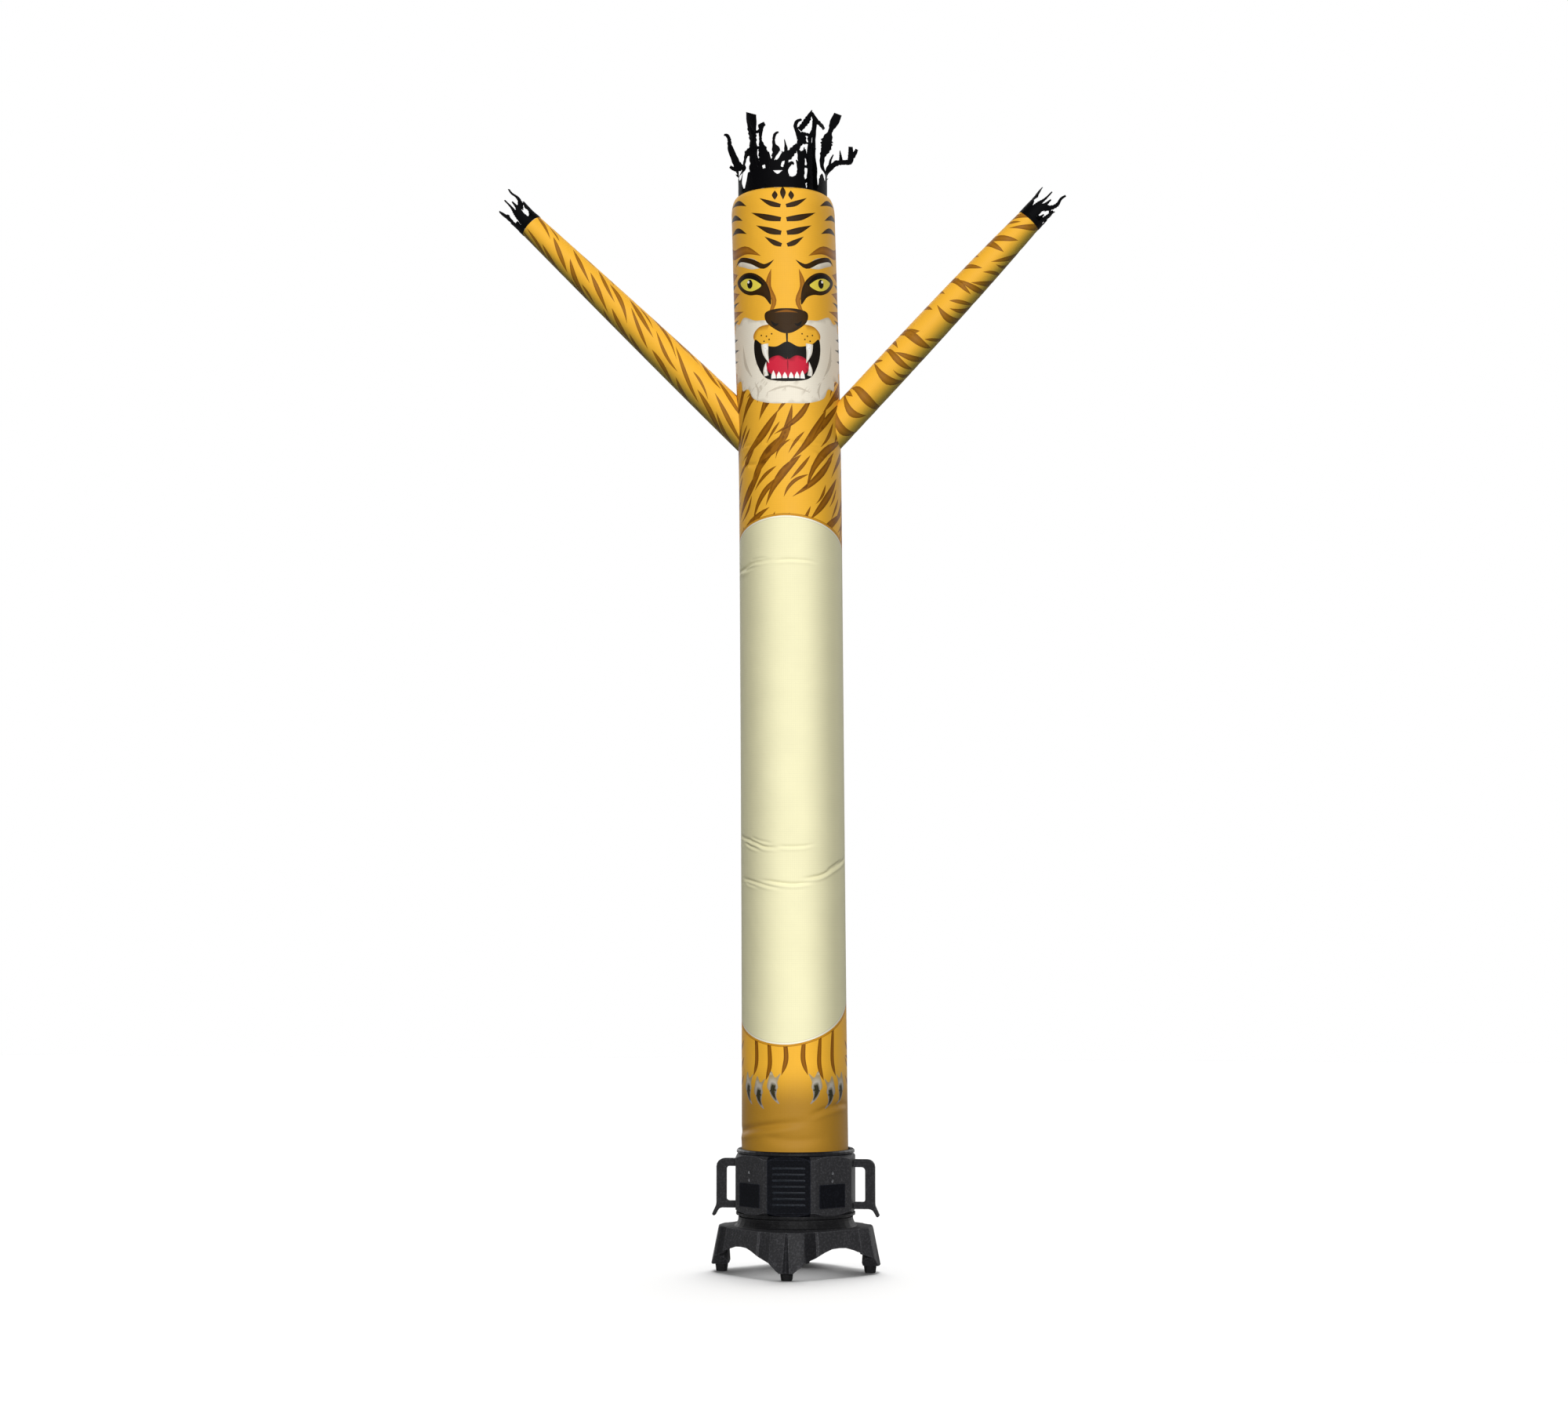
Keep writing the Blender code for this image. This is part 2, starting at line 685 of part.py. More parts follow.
def on_facet(facet, u, z, w):
    """u across and w out from a flat side of the housing, counted from the front towards +X."""
    turn = math.pi / 4 * facet
    out = FLAT + GAP + w
    x = out * math.sin(turn) + u * math.cos(turn)
    y = -out * math.cos(turn) + u * math.sin(turn)
    return Vector((AXIS_X + x, y, z))


def make_plates():
    plates = (("front_plate", 0, FRONT_PLATE), ("label_right", 1, LABEL), ("label_left", -1, LABEL))
    for name, facet, (width, low, high, corner) in plates:
        half = width / 2
        corners = ((-half, low, corner), (half, low, corner), (half, high, corner), (-half, high, corner))
        outline = rounded_outline(corners)
        prism(name, outline, lambda u, v, w, f=facet: on_facet(f, u, v, w), PLATE, "dark_plate")
    for side, facet in (("right", 1), ("left", -1)):
        for level, height in SCREW_HEIGHTS.items():
            outline = circle(SCREW_RADIUS, 10)
            prism("screw_" + side + "_" + level, outline,
                  lambda u, v, w, f=facet, h=height: on_facet(f, u, h + v, w), SCREW_HEIGHT, "screw_steel")


def circle(radius, count):
    return [(radius * math.cos(2 * math.pi * k / count), radius * math.sin(2 * math.pi * k / count))
            for k in range(count)]


def make_cable_inlet():
    prism("cable_inlet", circle(INLET_RADIUS, 16), lambda u, v, w: on_facet(4, u, INLET_Z + v, w),
          INLET_LENGTH, "black_plastic")


def make_intake_guard():
    """A flat guard of rings and spokes across the air intake."""
    top = BASE_TOP - 0.0015
    spoke_step = 2 * math.pi / GUARD_SPOKES
    turns = []
    for spoke in range(GUARD_SPOKES):
        start = spoke * spoke_step
        open_part = spoke_step - GUARD_SPOKE_ANGLE
        turns.append(start)
        turns += [start + GUARD_SPOKE_ANGLE + open_part * k / 2 for k in range(2)]
    radii = (*GUARD_RINGS, GUARD_RADIUS)
    count = len(turns)
    points = [Vector((AXIS_X, 0.0, top))]
    points += [on_axis(turn, radius, top) for radius in radii for turn in turns]
    faces = [(0, 1 + j, 1 + (j + 1) % count) for j in range(count)]
    for i in range(len(radii) - 1):
        gap_ring = i % 2 == 0
        for j in range(count):
            if gap_ring and j % 3 != 0:
                continue
            beside = (j + 1) % count
            low, high = 1 + i * count, 1 + (i + 1) * count
            faces.append((low + j, high + j, high + beside, low + beside))
    guard = outward_sheet("intake_guard", points, faces, "black_plastic")
    guard.modifiers["thickness"].thickness = GUARD_THICKNESS


def main():
    clear_scene()
    make_body_tube()
    make_belly_panel()
    for side in ARMS:
        make_arm(side)
        make_hand(side)
    make_hair()
    make_housing()
    make_rings()
    make_base()
    make_feet()
    make_handles()
    make_plates()
    make_cable_inlet()
    make_intake_guard()


main()
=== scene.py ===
import json
import math
import random

import bmesh
import bpy
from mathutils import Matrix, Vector
from mathutils.geometry import delaunay_2d_cdt


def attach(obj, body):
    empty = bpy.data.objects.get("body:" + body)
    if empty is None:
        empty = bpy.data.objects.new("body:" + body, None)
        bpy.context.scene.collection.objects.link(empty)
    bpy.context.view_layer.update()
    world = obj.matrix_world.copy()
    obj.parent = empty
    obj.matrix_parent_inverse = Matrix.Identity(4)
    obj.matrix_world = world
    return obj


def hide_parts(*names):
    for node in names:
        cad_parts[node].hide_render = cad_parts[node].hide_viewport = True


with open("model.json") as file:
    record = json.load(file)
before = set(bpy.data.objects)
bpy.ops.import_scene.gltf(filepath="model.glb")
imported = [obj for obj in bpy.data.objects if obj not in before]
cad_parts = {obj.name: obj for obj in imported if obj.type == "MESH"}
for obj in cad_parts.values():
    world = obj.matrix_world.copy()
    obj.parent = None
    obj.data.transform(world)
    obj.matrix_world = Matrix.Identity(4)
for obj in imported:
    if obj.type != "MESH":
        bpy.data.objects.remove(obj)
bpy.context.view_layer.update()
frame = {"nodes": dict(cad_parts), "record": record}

mm = 0.001
front = Vector((0, -1, 0))


# ---- small helpers ----


def smoothstep(low, high, value):
    t = min(1.0, max(0.0, (value - low) / (high - low)))
    return t * t * (3 - 2 * t)


def mix(a, b, t):
    return tuple(x + (y - x) * t for x, y in zip(a, b))


# A colour as a paint chart gives it, 0 to 255, in the linear numbers that a shader takes.
def srgb(*shares):
    return tuple(((c / 255 + 0.055) / 1.055) ** 2.4 if c > 10 else c / 255 / 12.92 for c in shares)


# A smooth curve's place at f between the middle two of four points.
def between(points, f):
    return tuple(
        b + f * ((c - a) / 2 + f * (a - 2.5 * b + 2 * c - d / 2 + f * ((d - a) / 2 + 1.5 * (b - c))))
        for a, b, c, d in zip(*points)
    )


# The smooth curve through these points, for t from 0 to 1.
def catmull(points, t):
    last = len(points) - 1
    place = min(t * last, last - 1e-9)
    i = int(place)
    return between([points[max(0, min(last, k))] for k in (i - 1, i, i + 1, i + 2)], place - i)


def finishMesh(name, mesh, material):
    thing = bpy.data.objects.new(name, mesh)
    bpy.context.scene.collection.objects.link(thing)
    mesh.materials.append(material)
    return thing


def inside(point, outline):
    u, v = point
    found = False
    for i in range(len(outline)):
        a, b = outline[i - 1], outline[i]
        if (a[1] > v) != (b[1] > v) and u < a[0] + (b[0] - a[0]) * (v - a[1]) / (b[1] - a[1]):
            found = not found
    return found


# ---- cloth cut flat, printed, and put in place ----


# A tapering mark along a path: its outline and its spine. Widths are given along the path too. A ragged one
# has edges that waver, each mark in its own way.
def brushMark(path, widths, steps=12, ragged=0.0):
    thinnest, glance = 0.2 * mm, 0.01
    left, right, spine = [], [], []
    for k in range(steps + 1):
        t = k / steps
        u, v = catmull(path, t)
        ahead = catmull(path, min(1.0, t + glance))
        behind = catmull(path, max(0.0, t - glance))
        run = math.hypot(ahead[0] - behind[0], ahead[1] - behind[1]) or 1.0
        side = ((behind[1] - ahead[1]) / run, (ahead[0] - behind[0]) / run)
        half = max(catmull([(w,) for w in widths], t)[0], 0.0) / 2
        half *= 1 + ragged * math.sin(23 * t + 700 * (u + v)) * math.sin(math.pi * t)
        if half < thinnest:
            left.append((u, v))
            continue
        left.append((u + side[0] * half, v + side[1] * half))
        right.append((u - side[0] * half, v - side[1] * half))
        spine.append((u, v))
    return left + right[::-1], spine


# An oval outline about (u, v).
def oval(u, v, wide, high, tilt, steps):
    points = []
    for k in range(steps):
        turn = 2 * math.pi * k / steps
        x, y = wide / 2 * math.cos(turn), high / 2 * math.sin(turn)
        points.append((u + x * math.cos(tilt) - y * math.sin(tilt),
                       v + x * math.sin(tilt) + y * math.cos(tilt)))
    return points


# A closed smooth outline through a few points.
def smoothLoop(points, steps):
    count = len(points)
    around = [points[k % count] for k in range(-1, count + 2)]
    return [between(around[i : i + 4], k / steps) for i in range(count) for k in range(steps)]


# One printed shape: its outline, the ink in its middle, the ink at its edge, and its spine.
def mark(outline, ink, edge=None, spine=()):
    edgeInk = inks[edge] if edge else inks.get(ink + "Edge", inks[ink])
    return {"outline": outline, "edge": edgeInk, "core": inks[ink], "spine": spine}


# The grid points that lie at least gap from every outline, so that no sliver is made.
def farFrom(points, lines, gap):
    near = set()
    for line in lines:
        for i in range(len(line)):
            a, b = line[i - 1], line[i]
            pieces = max(1, math.ceil(math.hypot(b[0] - a[0], b[1] - a[1]) / (gap * 0.7)))
            for k in range(pieces):
                u = a[0] + (b[0] - a[0]) * k / pieces
                v = a[1] + (b[1] - a[1]) * k / pieces
                x, y = round(u / gap), round(v / gap)
                near.update((x + i, y + j) for i in (-1, 0, 1) for j in (-1, 0, 1))
    return [p for p in points if (round(p[0] / gap), round(p[1] / gap)) not in near]


# The triangulation takes a loop's inside to be on its left.
def anticlockwise(loop):
    area = sum(loop[i - 1][0] * loop[i][1] - loop[i][0] * loop[i - 1][1] for i in range(len(loop)))
    return list(loop) if area > 0 else list(reversed(loop))


# Cuts cloth along its outline, prints the marks on it, and gives it two faces and a rim. place(u, v) gives a
# point and the way out there, and shade(u, v) a painted shade that darkens the ink. With union, only what the
# marks cover is cloth.
def cutCloth(name, outline, place, material, spots, marks=(), holes=(), ground="amber",
             thickness=1.0 * mm, shade=None, union=False, gap=3.5 * mm):
    loops = [anticlockwise(loop) for loop in (outline, *holes, *(m["outline"] for m in marks))]
    firstMark = 1 + len(holes)
    coords, faces, edges, loopOf = [], [], [], []
    for number, loop in enumerate(loops):
        faces.append(list(range(len(coords), len(coords) + len(loop))))
        coords += loop
        loopOf += [number] * len(loop)
    for m in marks:
        first = len(coords)
        coords += m["spine"]
        edges += [(k, k + 1) for k in range(first, len(coords) - 1)]
    coords += farFrom(spots, loops, gap)
    drawn = [Vector(c) for c in coords]
    # whence says which of the drawn points a point was, owners which loops a cell lies in
    flat, _, cells, whence, _, owners = delaunay_2d_cdt(drawn, edges, faces, 1, 1e-7, True)

    kept = []
    for cell, owner in zip(cells, owners):
        over = [k - firstMark for k in owner if k >= firstMark]
        if 0 in owner and not any(0 < k < firstMark for k in owner) and (over or not union):
            kept.append((cell, max(over, default=-1)))
    used = sorted({k for cell, _ in kept for k in cell})
    order = {k: i for i, k in enumerate(used)}
    count = len(used)
    places = [place(*flat[k]) for k in used]
    # painted shade: shade(u, v) darkens the ink at each point
    paintedShades = [shade(*flat[k]) if shade else (1, 1, 1) for k in used]
    onLoops = [{loopOf[w] for w in whence[k] if w < len(loopOf)} if whence[k] else None for k in used]

    def inkAt(i, number):
        if number < 0:
            ink = inks[ground]
        else:
            atEdge = onLoops[i] is None or firstMark + number in onLoops[i]
            ink = marks[number]["edge" if atEdge else "core"]
        return (*(a * b for a, b in zip(ink, paintedShades[i])), 1.0)

    corners, paint, normals, sides = [], [], [], {}
    for cell, number in kept:
        face = [order[k] for k in cell]
        colours = [inkAt(i, number) for i in face]
        corners.append(face)
        paint += colours
        normals += [places[i][1] for i in face]
        for k in range(len(face)):
            sides[face[k - 1], face[k]] = (colours[k - 1], colours[k])
    outerPaint = paint[:]
    start = 0
    for face in corners[:]:
        size = len(face)
        corners.append([i + count for i in reversed(face)])
        paint += reversed(outerPaint[start : start + size])
        normals += [-places[i][1] for i in reversed(face)]
        start += size
    points = [p for p, n in places] + [p - n * thickness for p, n in places]
    for (a, b), (inkA, inkB) in sides.items():
        if (b, a) in sides:
            continue
        corners.append([b, a, a + count, b + count])
        paint += [inkB, inkA, inkA, inkB]
        normals += [(points[a] - points[b]).cross(places[a][1]).normalized() * -1] * 4

    mesh = bpy.data.meshes.new(name)
    mesh.from_pydata(points, [], corners)
    layer = mesh.color_attributes.new("ink", "FLOAT_COLOR", "CORNER")
    layer.data.foreach_set("color", [c for ink in paint for c in ink])
    weave = mesh.uv_layers.new(name="weave")
    flatAt = [flat[k] for k in used] * 2
    weave.data.foreach_set("uv", [c for face in corners for i in face for c in flatAt[i]])
    mesh.shade_smooth()
    mesh.normals_split_custom_set(normals)
    return finishMesh(name, mesh, material)


# Rows of spots for the cloth to bend at, closer together where fine says so: (low, high, step).
def gridSpots(uLow, uHigh, vLow, vHigh, step, fine=()):
    spots = []
    wide = uHigh - uLow
    v = vLow
    odd = False
    while v < vHigh:
        rise = min([step] + [s for low, high, s in fine if low <= v <= high])
        across = min(step, rise * 2)
        columns = max(2, round(wide / across))
        spots += [(uLow + wide * (k + odd / 2) / columns, v) for k in range(columns + 1 - odd)]
        odd = not odd
        v += rise
    return spots


def divided(loop, step):
    points = []
    for i in range(len(loop)):
        a, b = loop[i - 1], loop[i]
        count = max(1, round(math.hypot(b[0] - a[0], b[1] - a[1]) / step))
        points += [(a[0] + (b[0] - a[0]) * k / count, a[1] + (b[1] - a[1]) * k / count)
                   for k in range(count)]
    return points


def rectangle(half, low, high):
    return [(-half, low), (half, low), (half, high), (-half, high)]


# The way out of a surface, from its own slopes.
def wayOut(surface, u, v, step=0.4 * mm):
    across = surface(u + step, v) - surface(u - step, v)
    along = surface(u, v + step) - surface(u, v - step)
    return across.cross(along).normalized()


# A point of a surface and the way out there, as cutCloth asks for them.
def onSurface(surface):
    return lambda u, v: (surface(u, v), wayOut(surface, u, v))


# ---- inks and nylon ----

inks = {
    "amber": srgb(242, 181, 54),
    "stripe": srgb(152, 96, 10),
    "stripeEdge": srgb(114, 66, 2),
    "sleeveStripe": srgb(162, 107, 24),
    "sleeveStripeEdge": srgb(138, 87, 12),
    "bark": srgb(54, 34, 6),
    "barkEdge": srgb(38, 22, 2),
    "tan": srgb(172, 112, 28),
    "tanEdge": srgb(138, 84, 12),
    "cream": srgb(240, 232, 214),
    "creamEdge": srgb(208, 198, 180),
    "belly": srgb(243, 238, 195),
    "bellyHem": srgb(250, 246, 222),
    "bellySeam": srgb(196, 190, 150),
    "amberHem": srgb(208, 146, 34),
    "white": srgb(250, 248, 242),
    "eye": srgb(232, 214, 80),
    "red": srgb(206, 34, 60),
    "redEdge": srgb(150, 18, 40),
    "ink": srgb(16, 11, 6),
    "black": srgb(6, 6, 8),
    "claw": srgb(70, 66, 34),
    "sheath": srgb(206, 198, 178),
    "sheathEdge": srgb(178, 160, 122),
}


def newMaterial(name):
    material = bpy.data.materials.new(name)
    material.use_nodes = True
    return material, material.node_tree, material.node_tree.nodes["Principled BSDF"]


# Fills a node: plain values go to its inputs in order, named ones to the input or the setting of that name,
# where toMin stands for "To Min". A socket is wired in.
def fill(node, *plain, **named):
    byName = {socket.name: socket for socket in reversed(node.inputs[:])}
    wanted = list(zip(node.inputs, plain))
    for key, value in named.items():
        spaced = "".join(" " + c if c.isupper() else c for c in key).title()
        if spaced in byName:
            wanted.append((byName[spaced], value))
        else:
            setattr(node, key, value)
    for socket, value in wanted:
        if isinstance(value, bpy.types.NodeSocket):
            node.id_data.links.new(value, socket)
        elif value is not None:
            socket.default_value = value
    return node


def addNode(tree, kind, *plain, give=0, **named):
    return fill(tree.nodes.new("ShaderNode" + kind), *plain, **named).outputs[give]


# Woven nylon: the printed ink, with the painted shade that cutCloth has multiplied into it, the ripstop's
# grid, and the soft unevenness of coated cloth.
def nylon(name, roughness, depth, sheen, specular, inkSpread):
    material, tree, shader = newMaterial(name)
    ink = addNode(tree, "Attribute", attribute_name="ink")
    place = addNode(tree, "TexCoord", give="Object")
    weave = addNode(tree, "UVMap", uv_map="weave")
    grid = addNode(tree, "TexBrick", vector=weave, offset=0.0, squash=1.0, scale=1.0, mortarSize=0.35 * mm,
                   mortarSmooth=0.6, bias=0.0, brickWidth=5.5 * mm, rowHeight=5.5 * mm, give="Fac")
    cloudy = addNode(tree, "TexNoise", vector=place, scale=9.0, detail=4.0, roughness=0.55)
    puckers = addNode(tree, "TexNoise", vector=place, scale=26.0, detail=3.0, roughness=0.5)
    fine = addNode(tree, "TexNoise", vector=place, scale=620.0, detail=2.0, roughness=0.6)
    tone = addNode(tree, "MapRange", cloudy, toMin=1.0 - inkSpread, toMax=1.0 + inkSpread)
    threads = addNode(tree, "MapRange", grid, toMin=1.0, toMax=0.93)
    both = addNode(tree, "Math", tone, threads, operation="MULTIPLY")
    printed = addNode(tree, "VectorMath", ink, scale=both, operation="SCALE")
    shine = addNode(tree, "MapRange", cloudy, toMin=roughness - 0.07, toMax=roughness + 0.10)
    bumps = None
    for source, height, reach in ((puckers, depth, 4 * mm), (grid, 0.30, 0.3 * mm), (fine, 0.25, 0.25 * mm)):
        bumps = addNode(tree, "Bump", strength=height, distance=reach, height=source, normal=bumps)
    fill(shader, baseColor=printed, roughness=shine, normal=bumps, sheenWeight=sheen, sheenRoughness=0.4)
    shader.inputs["Specular IOR Level"].default_value = specular
    return material


printedNylon = nylon("printedNylon", 0.55, 0.18, sheen=0.01, specular=0.13, inkSpread=0.06)
blackNylon = nylon("blackNylon", 0.62, 0.25, sheen=0.0, specular=0.04, inkSpread=0.25)


# ---- the tube, as the solids have it ----

tube = {
    "axisX": 0.0440,
    "bottom": 0.3386,
    "rim": 3.130,
    "radius": 0.150,
    "footSwell": 3.3 * mm,
    "footReach": 0.40,
    "headSwell": 2.5 * mm,
    "shoulder": 2.33,
    "crown": 0.055,
    "rimRadius": 0.131,
    "leanStart": 2.0 * mm,
    "lean": 0.0066,
    "headLean": 0.0282,
    "leanSoft": 0.12,
    "faceTurn": math.radians(7),
    "cloth": 1.0 * mm,
    "seam": 0.02 * mm,
    "edgeStep": 8 * mm,
    "step": 13 * mm,
    "sleeveStep": 11 * mm,
}
# Lines along which the cloth is pulled in, in degrees from the front and metres up, with the depth and the
# width in millimetres
creases = (
    (((-86, 2.011), (-56, 2.019), (-42, 2.030), (-26, 2.034), (-6, 2.037)), 3.8, 4.6),
    (((-16, 2.032), (2, 2.035), (24, 2.033), (42, 2.027)), 2.0, 4.2),
    (((-68, 2.009), (-48, 2.014), (-32, 2.023)), 2.2, 4.0),
    (((-46, 2.038), (-32, 2.042), (-18, 2.043)), 1.5, 3.6),
    (((-88, 1.254), (-50, 1.233), (-38, 1.223), (-27, 1.212), (-14, 1.209), (-4, 1.210)), 3.8, 4.6),
    (((-14, 1.213), (2, 1.211), (19, 1.213), (36, 1.221)), 2.4, 4.4),
    (((-62, 1.227), (-44, 1.212), (-28, 1.203)), 2.2, 4.0),
    (((-48, 1.241), (-30, 1.228), (-12, 1.221)), 1.8, 4.0),
    (((-70, 1.124), (-50, 1.117), (-34, 1.108), (-20, 1.099), (-1, 1.091)), 3.2, 4.4),
    (((-40, 1.119), (-20, 1.113), (-4, 1.107), (8, 1.105), (24, 1.109), (36, 1.112)), 3.6, 4.6),
    (((12, 1.119), (28, 1.124), (40, 1.131), (58, 1.152), (80, 1.174), (98, 1.192)), 4.2, 5.0),
    (((44, 1.143), (60, 1.161), (78, 1.178)), 2.6, 4.4),
    (((-60, 1.112), (-46, 1.104), (-32, 1.097)), 1.8, 4.0),
    (((-96, 0.396), (-60, 0.407), (-38, 0.417), (-8, 0.428), (34, 0.437)), 7.5, 10),
    (((18, 0.452), (44, 0.470), (70, 0.480), (94, 0.474)), 4.5, 8),
    (((-34, 0.390), (6, 0.382), (52, 0.390)), 3.0, 11),
    (((120, 0.520), (150, 0.505), (185, 0.512), (215, 0.530)), 4.0, 7),
    (((108, 1.330), (140, 1.318), (176, 1.322), (205, 1.338)), 3.6, 6),
    (((150, 1.900), (190, 1.912), (228, 1.896)), 3.4, 6),
    (((-66, 2.330), (-40, 2.318), (-20, 2.322)), 2.6, 5),
    (((30, 2.352), (52, 2.338), (70, 2.344)), 2.6, 5),
    (((-88, 2.374), (-30, 2.377), (30, 2.377), (88, 2.374)), 1.2, 3.2),
)


def centreX(z):
    above = z - tube["shoulder"]
    ramp = (above + math.hypot(above, tube["leanSoft"])) / 2
    run = tube["lean"] * (z - tube["bottom"]) + (tube["headLean"] - tube["lean"]) * ramp
    return tube["axisX"] - tube["leanStart"] - run


def tubeRadius(z):
    radius = tube["radius"] + tube["footSwell"] * math.exp(-(z - tube["bottom"]) / tube["footReach"])
    radius += tube["headSwell"] * smoothstep(tube["shoulder"], tube["shoulder"] + 0.4, z)
    t = min(1.0, (z - (tube["rim"] - tube["crown"])) / tube["crown"])
    if t > 0:
        radius -= (radius - tube["rimRadius"]) * (1 - math.sqrt(1 - t * t))
    return radius


fold = {"reach": 0.06, "fadeIn": 0.28, "fadeOut": 0.60, "ridge": 0.45, "ridgeBelow": 2.0}


# Each crease is a trough with a low ridge under it.
def creaseDepth(turn, z):
    depth = 0.0
    degrees = math.degrees(turn)
    for path, deepest, width in creases:
        (startTurn, startZ), (endTurn, endZ) = path[0], path[-1]
        if not min(startZ, endZ) - fold["reach"] < z < max(startZ, endZ) + fold["reach"]:
            continue
        along = degrees + 360 if degrees < startTurn and endTurn > 180 else degrees
        if not startTurn < along < endTurn:
            continue
        i = max(k for k in range(len(path) - 1) if path[k][0] <= along)
        t = (i + (along - path[i][0]) / (path[i + 1][0] - path[i][0])) / (len(path) - 1)
        fade = smoothstep(0.0, fold["fadeIn"], t) * (1 - smoothstep(fold["fadeOut"], 1.0, t))
        away = (z - catmull(path, t)[1]) / (width * mm)
        below = away + fold["ridgeBelow"]
        depth += deepest * mm * fade * (math.exp(-away * away) - fold["ridge"] * math.exp(-(below**2)))
    return depth


def tubePoint(u, z):
    turn = u / tube["radius"]
    radius = tubeRadius(z) - creaseDepth(turn, z)
    return Vector((centreX(z) + radius * math.sin(turn), -radius * math.cos(turn), z))


window = {
    "halfAngle": math.radians(105),
    "bottom": 0.651,
    "top": 2.163,
    "bottomRise": 0.160,
    "bottomLean": 0.015,
    "topRise": 0.125,
    "flatness": 1.8,
    "flatShare": 0.6,
}


# The belly panel's outline, drawn in by inset.
def windowOutline(inset, steps=56):
    half = window["halfAngle"] - inset / tube["radius"]
    share = window["flatShare"]
    low, high = [], []
    for k in range(steps + 1):
        swing = math.pi * (k / steps - 0.5)
        aside = math.sin(swing)
        rise = share * abs(aside) ** window["flatness"] + (1 - share) * (1 - math.cos(swing))
        u = half * aside * tube["radius"]
        low.append((u, window["bottom"] + inset + window["bottomRise"] * rise + window["bottomLean"] * aside))
        high.append((u, window["top"] - inset - window["topRise"] * rise))
    return divided(low + high[::-1], 9 * mm)


# ---- the sleeves ----

sleeves = {
    "left": {
        "rootX": -0.1689, "rootZ": 2.459, "tipX": -0.7934, "tipZ": 3.0715,
        "root": 0.0580, "tip": 0.0368, "power": 1.3, "sign": -1, "lean": 60, "gaps": (0.056, 0.090),
        "sizes": {"short": (0.06, 0.09), "long": (0.11, 0.15), "share": (0.12, 0.17)},
    },
    "right": {
        "rootX": 0.1351, "rootZ": 2.4547, "tipX": 0.6873, "tipZ": 3.0403,
        "root": 0.0500, "tip": 0.0374, "power": 3.0, "sign": 1, "lean": 33, "gaps": (0.115, 0.044),
        "sizes": {"short": (0.08, 0.11), "long": (0.15, 0.19), "share": (0.095, 0.13)},
    },
}
for sleeve in sleeves.values():
    along = Vector((sleeve["tipX"] - sleeve["rootX"], 0, sleeve["tipZ"] - sleeve["rootZ"]))
    sleeve["start"] = Vector((tube["axisX"] + sleeve["rootX"], 0, sleeve["rootZ"]))
    sleeve["length"] = along.length
    sleeve["along"] = along.normalized()
    sleeve["up"] = Vector((-along.z, 0, along.x)).normalized() * sleeve["sign"]


def sleeveRadius(sleeve, t):
    return sleeve["root"] + (sleeve["tip"] - sleeve["root"]) * max(0.0, t) ** sleeve["power"]


def spoke(sleeve, turn, radius):
    return sleeve["up"] * radius * math.cos(turn) + front * radius * math.sin(turn)


# How far along its line a strand of the sleeve starts, so that it meets the tube.
def strandStart(sleeve, turn, inset=0.0):
    offset = spoke(sleeve, turn, sleeveRadius(sleeve, 0) - inset)
    low, high = -0.12, 0.12
    for _ in range(24):
        middle = (low + high) / 2
        point = sleeve["start"] + offset + sleeve["along"] * middle
        if math.hypot(point.x - centreX(point.z), point.y) < tubeRadius(point.z) + 0.5 * mm:
            low = middle
        else:
            high = middle
    return high


strandSteps = 120
for sleeve in sleeves.values():
    sleeve["starts"] = [strandStart(sleeve, 2 * math.pi * k / strandSteps) for k in range(strandSteps)]


def sleevePoint(sleeve, turn, distance):
    place = turn / (2 * math.pi) * strandSteps
    k = math.floor(place)
    f = place - k
    start = sleeve["starts"][k % strandSteps] * (1 - f) + sleeve["starts"][(k + 1) % strandSteps] * f
    t = distance / sleeve["length"]
    centre = sleeve["start"] + sleeve["along"] * (start + (sleeve["length"] - start) * t)
    return centre + spoke(sleeve, turn, sleeveRadius(sleeve, t))


# The sleeve's hole in the tube, on the flat cloth.
def sleeveHole(sleeve, inset, steps=72):
    points = []
    for k in range(steps):
        turn = 2 * math.pi * k / steps
        point = sleeve["start"] + sleeve["along"] * strandStart(sleeve, turn, inset)
        point += spoke(sleeve, turn, sleeveRadius(sleeve, 0) - inset)
        points.append((tube["radius"] * math.atan2(point.x - centreX(point.z), -point.y), point.z))
    return points


# ---- the print ----

dice = random.Random(7)
stripe = {
    "driftAcross": 0.22,
    "driftUp": 0.25,
    "swing": 8,
    "peak": (0.5, 0.9),
    "taper": 0.6,
    "bends": ((-0.5, 0.6), (-0.22, -0.5), (0.08, -0.6), (0.34, 0.3), (0.5, 1.1)),
    "passes": (("long", 1.0), ("short", 0.6), ("short", 0.5)),
    "sleevePasses": (("long", 1.0), ("long", 0.8), ("short", 0.7)),
    "sleeveBend": 0.07,
    "sleeveApart": 10 * mm,
}


